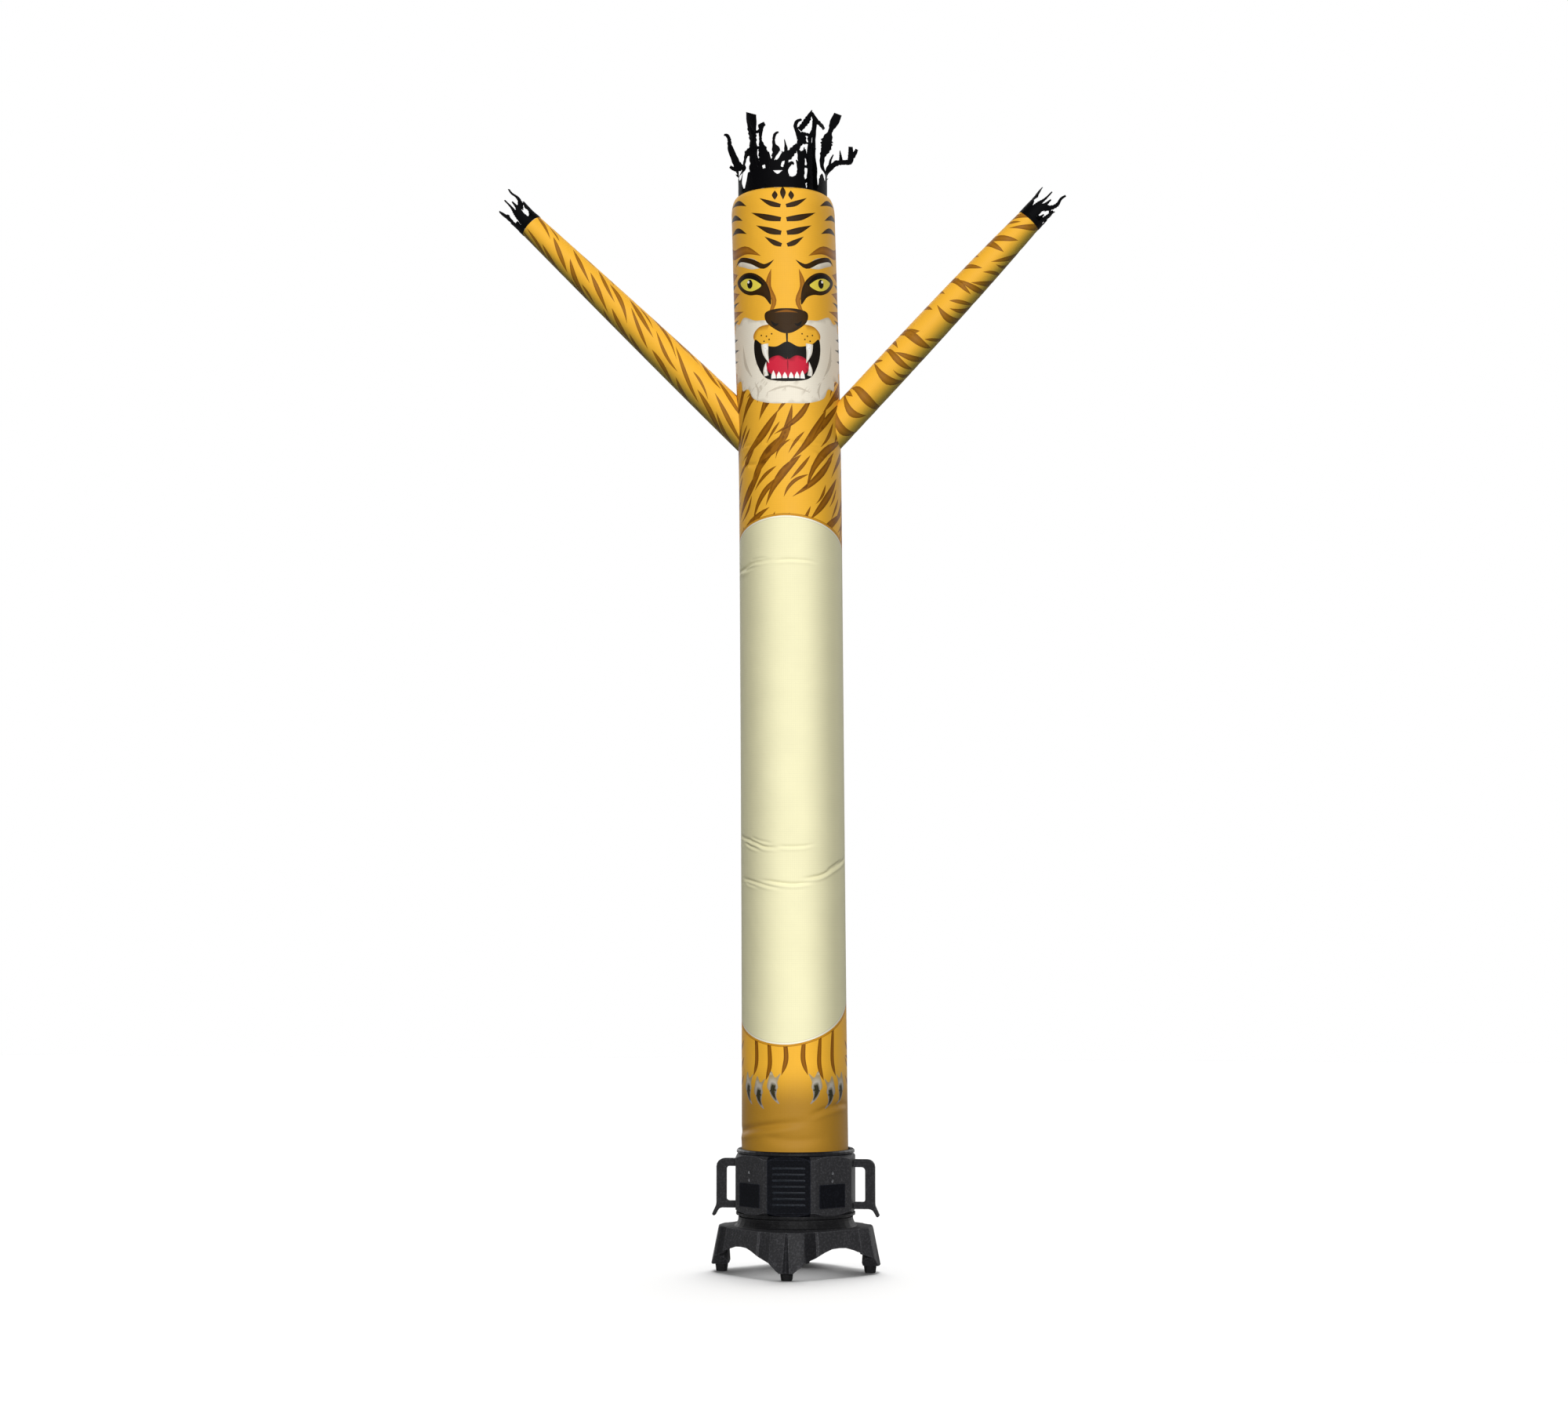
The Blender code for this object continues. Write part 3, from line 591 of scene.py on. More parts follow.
# Tiger marks over a patch of cloth, the long ones first: each leans with the coat, swells and ends in points.
def tigerMarks(low, high, spacing, lean, sizes, bend, skip=None, apart=8 * mm, passes=stripe["passes"],
               ink="stripe"):
    marks = []
    (uLow, vLow), (uHigh, vHigh) = low, high
    across, up, swing = stripe["driftAcross"], stripe["driftUp"], stripe["swing"]
    for kind, closer in passes:
        rows = max(1, round((vHigh - vLow) / spacing[1] / closer))
        columns = max(1, round((uHigh - uLow) / spacing[0] / closer))
        for cell in range(rows * columns):
            row, column = divmod(cell, columns)
            shift = 0.5 * (row % 2) + dice.uniform(-across, across)
            u = uLow + (uHigh - uLow) * (column + 0.5 + shift) / columns
            v = vLow + (vHigh - vLow) * (row + 0.5 + dice.uniform(-up, up)) / rows
            if u > uHigh:
                u -= uHigh - uLow
            length = dice.uniform(*sizes[kind])
            wide = length * dice.uniform(*sizes["share"])
            slope = math.radians(lean + dice.uniform(-swing, swing))
            curve = dice.uniform(-bend, bend) * length
            ahead = Vector((math.cos(slope), math.sin(slope)))
            aside = Vector((-ahead.y, ahead.x))
            path = [tuple(Vector((u, v)) + ahead * length * t + aside * curve * sway)
                    for t, sway in stripe["bends"]]
            if skip and any(skip(p) for p in path):
                continue
            peak = dice.uniform(*stripe["peak"])
            outline, spine = brushMark(path, (0.0, wide * peak, wide, wide * stripe["taper"], 0.0))
            if all(math.dist(a, b) > apart for m in marks for a in m["outline"][::3] for b in outline[::3]):
                marks.append(mark(outline, ink, spine=spine))
    return marks


noseHeight = 2.735  # the face is drawn about the nose


# A spot on the face: sideways and up from the nose, in millimetres.
def faceSpot(s, h):
    return tube["radius"] * tube["faceTurn"] + s * mm, noseHeight + h * mm


def sidesOf(both):
    return (1, -1) if both else (1,)


def faceShape(points, ink, edge=None, both=True, steps=5):
    return [mark(smoothLoop([faceSpot(side * s, h) for s, h in points], steps), ink, edge)
            for side in sidesOf(both)]


# The right half of a shape that is the same on both sides.
def faceWhole(points, ink, edge=None, steps=5):
    left = [(-s, h) for s, h in reversed(points) if s > 0]
    return faceShape(list(points) + left, ink, edge, both=False, steps=steps)


def faceStroke(points, widths, ink, edge=None, both=True, steps=14):
    marks = []
    for side in sidesOf(both):
        path = [faceSpot(side * s, h) for s, h in points]
        outline, spine = brushMark(path, [w * mm for w in widths], steps)
        marks.append(mark(outline, ink, edge, spine))
    return marks


def faceOval(s, h, wide, high, ink, edge=None, tilt=0.0, steps=22):
    marks = []
    for side in sidesOf(True):
        outline = oval(*faceSpot(side * s, h), wide * mm, high * mm, side * math.radians(tilt), steps)
        marks.append(mark(outline, ink, edge))
    return marks


# A big cat's face of simple shapes, from the coat up to the teeth.
def catFace():
    marks = []
    marks += faceStroke([(70, 190), (124, 214), (190, 214), (252, 240)], (0, 24, 28, 26), "tan")
    for height, near, wide in ((150, 168, 30), (92, 160, 30), (36, 142, 26)):
        marks += faceStroke([(258, height + 14), (214, height + 2), (near, height)], (wide, wide * 0.9, 0),
                            "tan")
    for height, near, wide in ((120, 178, 14), (64, 164, 15), (12, 170, 13)):
        marks += faceStroke([(258, height + 12), (220, height + 2), (near, height + 4)],
                            (wide, wide * 0.9, 0), "bark")
    marks += faceWhole([(0, -24), (58, -2), (96, 2), (140, 18), (168, 2), (196, 10), (210, -14), (244, -18),
                        (228, -52), (252, -74), (222, -98), (236, -128), (202, -138), (204, -166),
                        (168, -166), (160, -196), (130, -196), (110, -226), (56, -244), (0, -246)], "cream",
                       steps=4)
    marks += faceStroke([(40, 150), (50, 100), (34, 52), (56, 6)], (0, 15, 15, 12, 0), "tan")
    for height, reach, wide in ((-40, 62, 12), (-72, 70, 12), (-104, 58, 10)):
        marks += faceStroke([(250, height + 18), (216, height + 4), (242 - reach, height)],
                            (wide, wide * 0.8, 0), "ink")
    marks += faceStroke([(150, -60), (140, -120), (112, -164)], (0, 12, 0), "creamEdge")
    marks += faceStroke([(104, -178), (92, -206), (98, -234)], (0, 7, 0), "creamEdge")
    marks += faceStroke([(0, -196), (34, -202), (66, -214)], (5, 6, 0), "creamEdge")
    # brows, eyes and the dark lines that run from them down the nose
    marks += faceShape([(66, 158), (96, 184), (138, 192), (166, 178), (136, 166), (100, 154)], "cream")
    marks += faceStroke([(30, 176), (62, 158), (104, 178), (150, 190), (182, 176)], (0, 14, 15, 12, 0),
                        "bark", steps=20)
    marks += faceShape([(44, 44), (46, 84), (62, 118), (96, 142), (138, 146), (174, 128), (150, 98),
                        (116, 80), (84, 76), (62, 66)], "bark")
    marks += faceShape([(72, 102), (92, 124), (124, 132), (154, 122), (134, 100), (102, 90)], "eye")
    marks += faceStroke([(66, 104), (94, 128), (128, 136), (160, 124)], (5, 12, 12, 4), "ink")
    marks += faceOval(112, 112, 21, 27, "ink", tilt=-8)
    marks += faceOval(117, 119, 8, 8, "white")
    # forehead
    for height, reach, wide in ((226, 58, 15), (262, 84, 18), (302, 100, 18), (342, 72, 15)):
        marks += faceStroke([(8, height - 8), (reach * 0.5, height), (reach, height + 20)],
                            (wide * 0.7, wide, 0), "bark")
    for height, near in ((256, 118), (298, 134), (338, 116)):
        marks += faceStroke([(near, height + 6), (near + 44, height + 24), (near + 96, height + 20)],
                            (0, 16, 0), "bark")
    for s, tall in ((0, 46), (24, 30)):
        marks += faceStroke([(s, 352), (s, 352 + tall / 2), (s, 352 + tall)], (0, 17, 0), "bark",
                            both=s > 0)
    # muzzle
    marks += faceShape([(2, -34), (34, -16), (80, -18), (104, -44), (84, -76), (40, -86), (6, -74)], "amber",
                        "tan")
    marks += faceWhole([(0, -66), (34, -80), (74, -70), (98, -54), (102, -92), (90, -134), (62, -172),
                        (0, -182)], "ink", steps=6)
    marks += faceWhole([(0, -118), (26, -106), (54, -116), (62, -144), (38, -166), (0, -170)], "red")
    marks += faceStroke([(0, -110), (0, -132), (0, -158)], (0, 4, 0), "redEdge", both=False)
    marks += faceStroke([(66, -70), (64, -98), (54, -128)], (23, 17, 0), "white", "creamEdge")
    for s, tall in ((9, 9), (26, 10), (42, 12)):
        marks += faceStroke([(s, -173), (s, -173 + tall), (s, -173 + tall * 2)], (14, 11, 0), "white",
                            steps=6)
    marks += faceStroke([(64, -164), (67, -146), (63, -122)], (15, 12, 0), "white", "creamEdge", steps=8)
    for s, h in ((44, -42), (60, -48), (76, -44), (52, -58), (68, -62)):
        marks += faceOval(s, h, 5, 5, "bark", "bark", steps=8)
    marks += faceWhole([(0, 32), (34, 30), (62, 20), (58, -8), (26, -34), (0, -42)], "bark", steps=6)
    marks += faceStroke([(-34, 20), (0, 24), (34, 20)], (0, 7, 0), "tanEdge", both=False)
    marks += faceStroke([(22, -12), (34, -16), (46, -2)], (0, 9, 0), "ink")
    marks += faceStroke([(0, -42), (0, -56), (0, -70)], (6, 5, 4), "ink", both=False, steps=6)
    return marks


# Plain claws under the belly panel, three on each side.
def claws():
    marks = []
    middle = 566 - noseHeight / mm
    for s, lower in ((62, 0), (110, 15), (156, 4)):
        drop = middle - lower
        edge = drop + 96 + 0.34 * (s - 34)
        marks += faceStroke([(s - 34, edge), (s - 38, drop + 44), (s - 24, drop - 2)], (8, 13, 12, 0),
                            "stripe")
        marks += faceShape([(s - 22, drop + 4), (s - 6, drop - 8), (s + 6, drop + 10), (s + 15, drop - 12),
                            (s + 19, drop - 36), (s + 4, drop - 48), (s - 14, drop - 38),
                            (s - 13, drop - 20)], "sheath")
        marks += faceShape([(s - 8, drop - 24), (s + 7, drop - 20), (s + 12, drop - 44), (s + 2, drop - 66),
                            (s - 18, drop - 82), (s - 9, drop - 62), (s - 11, drop - 42)], "claw", "sheath")
        marks += faceStroke([(s - 1, drop - 30), (s + 2, drop - 48), (s - 8, drop - 68)], (9, 9, 0), "claw",
                            "ink", steps=8)
    for rise in (96, 46, -4):
        marks += faceStroke([(188, middle + rise), (214, middle + rise - 22), (246, middle + rise - 30)],
                            (0, 12, 0), "stripe")
    return marks


# ---- the body tube ----


# Painted shade: the ink is darkened towards the sides by these shares, left and right, as a lit tube falls
# off from the light, and near the foot.
paintedSideShades = {
    "tube": (0.08, 0.27),
    "panel": (0.22, 0.35),
    "from": 0.15,
    "to": 0.95,
    "backFrom": 1.6,
    "backTo": 2.3,
}
# painted shade near the foot, under the sagging fold: the ink is darkened fully below low and not at all
# above high
paintedFootShade = {"ink": (0.46, 0.45, 0.54), "low": 0.47, "high": 0.60}
coat = {
    "sizes": {"short": (0.07, 0.11), "long": (0.15, 0.23), "share": (0.10, 0.135)},
    "bend": 0.10,
    "faceReach": 0.235,
    "faceLow": 2.48,
    "apart": 8 * mm,
    "chestApart": 9 * mm,
    # how far the stripes keep from the seam, the rim, the hems and the window's ends
    "seamClear": 5 * mm,
    "rimClear": 10 * mm,
    "hemClear": 8 * mm,
    "windowClear": 0.02,
    "fine": ((0.36, 0.54, 4 * mm), (2.30, 2.39, 3 * mm)),
}


# Painted shade: the share of the ink kept at u, darker towards the sides and full again towards the back.
def paintedSideShade(u, part):
    turn = u / tube["radius"] - tube["faceTurn"]
    deep = paintedSideShades[part][1 if turn > 0 else 0]
    back = smoothstep(paintedSideShades["backFrom"], paintedSideShades["backTo"], abs(turn))
    return 1 - deep * smoothstep(paintedSideShades["from"], paintedSideShades["to"], abs(turn)) * (1 - back)


def makeBodyTube():
    half = math.pi * tube["radius"] - tube["seam"]
    bottom, rim = tube["bottom"], tube["rim"]
    outline = divided(rectangle(half, bottom, rim), tube["edgeStep"])
    holes = [windowOutline(0.0)] + [sleeveHole(s, 1.5 * mm) for s in sleeves.values()]
    faceMiddle = tube["radius"] * tube["faceTurn"]

    def chestSkip(spot):
        return abs(spot[0]) > half - coat["seamClear"] or spot[1] > rim - coat["rimClear"]

    def backSkip(spot):
        u, v = spot
        level = window["bottom"] - coat["windowClear"] < v < window["top"] + coat["windowClear"]
        inWindow = level and abs(u) < window["halfAngle"] * tube["radius"] + coat["hemClear"]
        inFace = abs(u - faceMiddle) < coat["faceReach"] and v > coat["faceLow"]
        return inWindow or inFace or chestSkip(spot) or v < bottom + coat["hemClear"]

    # each patch: two corners, the spacing across and up, the lean, what to keep clear of, and the least gap
    patches = (
        ((-half, 2.02), (half, 2.60), (0.085, 0.060), 50, chestSkip, coat["chestApart"]),
        ((-half, 0.40), (-0.27, 2.02), (0.075, 0.075), 28, backSkip, coat["apart"]),
        ((0.27, 0.40), (half, 2.02), (0.075, 0.075), 152, backSkip, coat["apart"]),
        ((0.27, 2.60), (half, 3.10), (0.07, 0.075), 160, backSkip, coat["apart"]),
        ((-half, 2.60), (-0.22, 3.10), (0.07, 0.075), 20, backSkip, coat["apart"]),
    )
    marks = []
    for low, high, spacing, lean, skip, apart in patches:
        marks += tigerMarks(low, high, spacing, lean, coat["sizes"], coat["bend"], skip, apart)
    marks += catFace() + claws()
    # the hem round the window
    marks.append(mark(windowOutline(-6 * mm), "amberHem", "stripeEdge"))
    marks.append(mark(windowOutline(-4.6 * mm), "amberHem"))

    fine = [*coat["fine"], (rim - tube["crown"] - 0.01, rim, 5 * mm)]
    spots = gridSpots(-half, half, bottom + 6 * mm, rim - 4 * mm, tube["step"], fine)

    # painted shade: the ink is darker towards the foot and towards the sides
    def shade(u, z):
        low = mix((1, 1, 1), paintedFootShade["ink"], 1 - smoothstep(paintedFootShade["low"], paintedFootShade["high"], z))
        return tuple(c * paintedSideShade(u, "tube") for c in low)

    piece = cutCloth("bodyTube", outline, onSurface(tubePoint), printedNylon, spots, marks, holes,
                     thickness=tube["cloth"], shade=shade)
    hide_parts("body_tube")
    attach(piece, "root")
    print("body tube", len(piece.data.polygons), "faces")


def makeBellyPanel():
    outline = windowOutline(0.3 * mm)
    fine = [(1.07, 1.27, 2.6 * mm), (1.99, 2.06, 2.6 * mm)]
    reach = window["halfAngle"] * tube["radius"]
    spots = gridSpots(-reach, reach, window["bottom"], window["top"], tube["step"], fine)
    spots = [spot for spot in spots if inside(spot, outline)]
    # a seam inside the hem, then the belly
    marks = [mark(windowOutline(5 * mm), "belly", "bellySeam"), mark(windowOutline(6.5 * mm), "belly")]
    # the panel's ink gets painted shade, darker towards the sides
    piece = cutCloth("bellyPanel", outline, onSurface(tubePoint), printedNylon, spots, marks,
                     ground="bellyHem", thickness=tube["cloth"],
                     shade=lambda u, z: (paintedSideShade(u, "panel"),) * 3)
    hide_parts("belly_panel")
    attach(piece, "root")
    print("belly panel", len(piece.data.polygons), "faces")


# Painted shade: the sleeves' underside is darkened towards olive, for the shade under them.
undersideShade = {"ink": (0.42, 0.58, 0.95), "from": 0.55, "to": 0.88}


def makeSleeve(side):
    sleeve = sleeves[side]
    reach = math.pi * sleeve["root"] - tube["seam"]
    length = sleeve["length"]

    def surface(u, v):
        return sleevePoint(sleeve, sleeve["sign"] * u / sleeve["root"], v)

    # painted shade on the underside
    def shade(u, v):
        under = smoothstep(undersideShade["from"], undersideShade["to"], abs(u) / reach)
        return mix((1, 1, 1), undersideShade["ink"], under)

    outline = divided(rectangle(reach, 0.0, length), tube["edgeStep"])
    marks = tigerMarks((-reach, 0.0), (reach, length), sleeve["gaps"], sleeve["lean"], sleeve["sizes"],
                       stripe["sleeveBend"], apart=stripe["sleeveApart"], passes=stripe["sleevePasses"],
                       ink="sleeveStripe")
    spots = gridSpots(-reach, reach, 5 * mm, length - 4 * mm, tube["sleeveStep"])
    piece = cutCloth("sleeve_" + side, outline, onSurface(surface), printedNylon, spots, marks,
                     thickness=tube["cloth"], shade=shade)
    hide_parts("arm_" + side)
    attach(piece, "root")
    print("sleeve", side, len(piece.data.polygons), "faces")


makeBodyTube()
makeBellyPanel()
for side in sleeves:
    makeSleeve(side)


# ---- streamers: ragged strips of black nylon ----


# Shapes seen from the front, sideways and up, laid out flat on the cloth of a ring.
def onRing(points, radius, view):
    flat = []
    for x, h in points:
        turn = math.asin(max(-0.97, min(0.97, x / radius)))
        u = {"front": turn * radius, "back": (math.pi - turn) * radius,
             "left": -math.pi / 2 * radius - x, "right": math.pi / 2 * radius + x}[view]
        flat.append((u, h))
    return flat


# Strips all round a ring, each one drawn on both sides of the ring's seam.
def ringMarks(radius, locks):
    marks = []
    around = 2 * math.pi * radius
    for view, path, widths in locks:
        spots = [(x * mm, h * mm) for x, h in path]
        strip = brushMark(spots, [w * mm for w in widths], 5 * len(path), ragged=0.16)
        outline, spine = (onRing(line, radius, view) for line in strip)
        for lap in (-around, 0, around):
            moved = [(u + lap, v) for u, v in outline]
            if any(abs(u) < around / 2 for u, v in moved):
                marks.append(mark(moved, "black", spine=[(u + lap, v) for u, v in spine]))
    return marks


crown = {
    "radius": 0.1315,
    "height": 0.290,
    "above": 0.30,
    "band": 0.060,
    "seed": 4,
    "cloth": 1.0 * mm,
    "step": 8 * mm,
    "edgeStep": 7 * mm,
    "firstRow": 5 * mm,
    "lastRow": 0.29,
    "seat": 0.3 * mm,
    "flutter": 2.0 * mm,
    "sway": 14 * mm,
    # at the sides the cloth turns to face the front, and reaches outwards
    "foldFrom": math.radians(77),
    "foldTo": {"left": math.radians(113), "right": math.radians(131)},
    "foldLow": 0.058,
    "foldHigh": 0.100,
}

# Where each lock is seen, its path and its widths, in millimetres: sideways and above the rim at the
# front and the back, beyond the ring and above the rim at the left and the right
crownLocks = (
    ("front", ((-100, 113), (-82, 118), (-60, 122)), (14, 26, 8)),
    ("front", ((-94, 122), (-101, 102), (-108, 80)), (16, 10, 8)),
    ("front", ((-78, 110), (-73, 84), (-62, 50)), (22, 15, 20)),
    ("front", ((-86, 203), (-77, 178), (-70, 165), (-72, 146), (-80, 120)), (2, 7, 9, 7, 14)),
    ("front", ((-78, 176), (-64, 170), (-50, 175)), (8, 8, 12)),
    ("front", ((-58, 187), (-48, 188), (-38, 193)), (9, 15, 12)),
    ("front", ((-47, 190), (-50, 172), (-50, 143), (-43, 112), (-39, 79), (-40, 50)),
     (16, 13, 9, 27, 32, 34)),
    ("front", ((-96, 120), (-75, 124), (-50, 122)), (10, 8, 9)),
    ("front", ((4, 164), (-7, 156), (-10, 132), (-2, 106), (2, 77), (2, 50)), (5, 9, 9, 26, 40, 44)),
    ("front", ((21, 142), (25, 120), (26, 98), (30, 80)), (2, 8, 16, 26)),
    ("front", ((-5, 96), (12, 98), (30, 94)), (20, 16, 22)),
    ("front", ((70, 205), (57, 197), (53, 181), (61, 164), (71, 146), (69, 120), (71, 89), (69, 50),
               (69, 10)),
     (6, 10, 11, 15, 25, 26, 25, 28, 30)),
    ("front", ((60, 128), (46, 110), (32, 92)), (14, 20, 24)),
    ("front", ((97, 238), (86, 208), (74, 187), (64, 174)), (2, 15, 15, 15)),
    ("front", ((97, 232), (106, 211), (118, 202), (127, 194)), (6, 14, 12, 11)),
    ("front", ((102, 208), (100, 180), (91, 152), (94, 132), (94, 100), (93, 56), (94, 4)),
     (8, 8, 10, 8, 11, 10, 10)),
    ("front", ((86, 138), (96, 132), (108, 125)), (6, 6, 3)),
    ("front", ((70, 164), (92, 162)), (11, 9)),
    ("front", ((72, 137), (92, 137)), (6, 5)),
    ("front", ((72, 99), (94, 99)), (13, 10)),
    ("front", ((72, 64), (93, 66)), (10, 8)),
    ("left", ((-12, 4), (-13, 34), (-14, 60), (-19, 84), (-14, 104)), (30, 20, 15, 14, 12)),
    ("left", ((-12, 96), (2, 104), (13, 127), (26, 161), (29, 186), (36, 200), (46, 204)),
     (18, 25, 19, 15, 11, 10, 6)),
    ("left", ((-4, 36), (5, 68), (6, 96)), (14, 9, 12)),
    ("left", ((4, 94), (16, 98), (28, 107)), (14, 12, 8)),
    ("left", ((0, 62), (8, 72), (20, 80)), (12, 10, 6)),
    ("right", ((-22, 4), (-16, 30), (-6, 58), (9, 88), (28, 106), (50, 110), (66, 114), (69, 136), (69, 156)),
     (24, 20, 15, 19, 16, 14, 17, 15, 12)),
    ("right", ((66, 124), (76, 130), (87, 150)), (12, 12, 8)),
    ("right", ((40, 108), (40, 122), (38, 143)), (14, 9, 2)),
    ("right", ((8, 98), (11, 114), (19, 130)), (8, 6, 3)),
    ("right", ((31, 258), (20, 226), (11, 198), (2, 168), (-2, 146), (-12, 122), (-15, 84), (-16, 40),
               (-18, 6)),
     (23, 25, 13, 32, 28, 15, 12, 13, 18)),
    ("back", ((-105, 286), (-104, 240), (-101, 202), (-97, 150), (-92, 100), (-88, 30)),
     (24, 24, 20, 24, 34, 44)),
    ("back", ((-58, 180), (-52, 140), (-58, 90), (-62, 20)), (5, 12, 28, 40)),
    ("back", ((-56, 118), (-40, 140), (-36, 158)), (14, 10, 3)),
    ("back", ((2, 178), (-6, 140), (-10, 90), (-12, 20)), (5, 14, 28, 46)),
    ("back", ((-6, 128), (10, 146), (18, 140)), (14, 10, 6)),
    ("back", ((26, 154), (34, 120), (28, 80), (30, 20)), (4, 11, 20, 32)),
    ("back", ((72, 218), (66, 160), (74, 100), (70, 20)), (9, 17, 28, 38)),
    ("back", ((68, 150), (52, 168), (50, 190)), (14, 9, 3)),
    ("back", ((85, 266), (83, 180), (82, 100), (80, 20)), (12, 13, 20, 30)),
    ("back", ((-60, 98), (-34, 88), (-10, 96)), (14, 12, 14)),
    ("back", ((30, 92), (52, 84), (74, 100)), (14, 11, 14)),
    ("back", ((68, 128), (76, 132), (84, 126)), (10, 8, 10)),
)
crownHoles = (
    ("front", ((-107, 4), (-104, 40), (-97, 78)), (8, 16, 18)),
    ("front", ((84, 62), (85, 34), (86, 3)), (12, 15, 8)),
    ("front", ((106, 100), (108, 50), (105, 3)), (14, 18, 10)),
    ("front", ((11, 106), (3, 93), (-6, 80)), (7, 9, 6)),
    ("front", ((14, 60), (19, 72), (27, 62), (30, 44)), (7, 11, 13, 16)),
    ("front", ((45, 84), (50, 66), (48, 46), (30, 42)), (9, 20, 24, 16)),
    ("front", ((66, 112), (79, 125), (94, 122)), (6, 16, 8)),
    ("front", ((82, 90), (82, 70)), (7, 7)),
    ("front", ((-41, 69), (-39, 59)), (9, 8)),
    ("front", ((-35, 11), (-35, 6)), (5, 5)),
    ("back", ((-30, 10), (-34, 50), (-28, 76)), (6, 12, 10)),
    ("back", ((10, 14), (8, 44), (14, 72)), (5, 10, 8)),
    ("back", ((52, 8), (50, 50), (54, 72)), (6, 11, 12)),
    ("back", ((-76, 12), (-74, 50), (-75, 84)), (6, 9, 9)),
)


def crownPoint(u, v):
    radius = crown["radius"]
    turn = u / radius
    flutter = math.sin(3 * turn + 22 * v) + 0.6 * math.sin(7 * turn - 31 * v)
    reach = radius + crown["flutter"] * flutter * smoothstep(0.03, 0.16, v)
    point = Vector((reach * math.sin(turn), -reach * math.cos(turn), 0))
    if crown["foldFrom"] < abs(turn) < crown["foldTo"]["left" if turn < 0 else "right"]:
        out = radius + (abs(turn) - math.pi / 2) * radius
        sway = crown["sway"] * math.sin(28 * v) * smoothstep(0.06, 0.20, v) + 0.4 * (out - radius)
        folded = Vector((math.copysign(out, turn), sway, 0))
        point = point.lerp(folded, smoothstep(crown["foldLow"], crown["foldHigh"], v))
    return point + Vector((centreX(tube["rim"]), 0, tube["rim"] + crown["seat"] + v))


# The band's ragged upper edge: waves around the ring, each with its share and how often it comes.
def raggedBand(around, height, seed, steps=150):
    waver = random.Random(seed)
    waves = [(share, often, waver.uniform(0, 2 * math.pi))
             for share, often in ((0.10, 5), (0.10, 9), (0.07, 17), (0.05, 29))]
    top = []
    for k in range(steps + 1):
        turn = 2 * math.pi * k / steps
        rough = sum(share * math.sin(often * turn + phase) for share, often, phase in waves)
        top.append((around * (k / steps - 0.5), height * (0.90 + rough)))
    return [(-around / 2, 0.0), (around / 2, 0.0)] + top[::-1]


def aroundRing(radius):
    return 2 * math.pi * radius - 0.2 * mm


# Cuts a ring of cloth into ragged strips on a band.
def cutRing(name, ring, radius, surface, locks, holes=(), gap=3.5 * mm):
    half = aroundRing(radius) / 2
    band = raggedBand(2 * half, ring["band"], ring["seed"])
    marks = [mark(divided(band, ring["edgeStep"]), "black")] + ringMarks(radius, locks)
    outline = rectangle(half, 0.0, ring["above"])
    spots = gridSpots(-half, half, ring["firstRow"], ring["lastRow"], ring["step"])
    return cutCloth(name, outline, onSurface(surface), blackNylon, spots, marks, holes,
                    thickness=ring["cloth"], union=True, gap=gap)


def makeCrown():
    radius = crown["radius"]
    holes = [m["outline"] for m in ringMarks(radius, crownHoles)]
    piece = cutRing("headStreamers", crown, radius, crownPoint, crownLocks, holes)
    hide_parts("hair_streamers")
    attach(piece, "root")
    aroundRing(radius)
    print("head streamers", len(piece.data.polygons), "faces")


cuff = {
    "height": 0.128,
    "above": 0.15,
    "band": 0.015,
    "seed": 11,
    "cloth": 0.9 * mm,
    "seat": 0.3 * mm,
    "flutter": 1.5 * mm,
    "step": 5 * mm,
    "edgeStep": 5 * mm,
    "firstRow": 3 * mm,
    "lastRow": 0.145,
    "grow": {"left": 1.0, "right": 0.97},
    "backShare": 0.58,
}

# Across the sleeve and beyond its end, in millimetres
handLocks = (
    (((-33, 8), (-32, 37), (-31, 66), (-34, 100)), (14, 9, 9, 4)),
    (((-32, 58), (-28, 66), (-31, 75)), (5, 9, 4)),
    (((-28, 12), (-22, 34)), (16, 8)),
    (((-10, 12), (-8, 40), (-6, 54), (-2, 76), (-1, 105)), (20, 15, 13, 7, 4)),
    (((6, 50), (10, 66), (12, 86)), (14, 9, 4)),
    (((14, 50), (19, 60), (28, 74), (32, 92), (30, 110), (33, 127)), (15, 15, 9, 7, 6, 4)),
    (((32, 6), (31, 26), (34, 48), (34, 68)), (12, 8, 7, 4)),
    (((26, 64), (34, 55)), (8, 6)),
    (((1, 8), (1, 30), (4, 48), (14, 60)), (28, 21, 19, 15)),
    (((14, 58), (17, 43)), (9, 2)),
)


def makeHand(side):
    sleeve = sleeves[side]
    radius = sleeve["tip"]

    def surface(u, v):
        turn = u / radius
        outwards = sleeve["up"] * math.sin(turn) * sleeve["sign"] + front * math.cos(turn)
        reach = radius + cuff["flutter"] * math.sin(2 * turn + 60 * v) * smoothstep(0.02, 0.08, v)
        centre = sleeve["start"] + sleeve["along"] * (sleeve["length"] + cuff["seat"] + v)
        return centre + outwards * reach

    locks = []
    for path, widths in handLocks:
        for view, share in (("front", cuff["grow"][side]), ("back", cuff["backShare"])):
            locks.append((view, [(-across, along * share) for across, along in path], widths))
    piece = cutRing("handStreamers_" + side, cuff, radius, surface, locks, gap=2 * mm)
    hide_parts("hand_streamers_" + side)
    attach(piece, "root")
    aroundRing(radius)
    print("hand streamers", side, len(piece.data.polygons), "faces")


makeCrown()
for side in sleeves:
    makeHand(side)
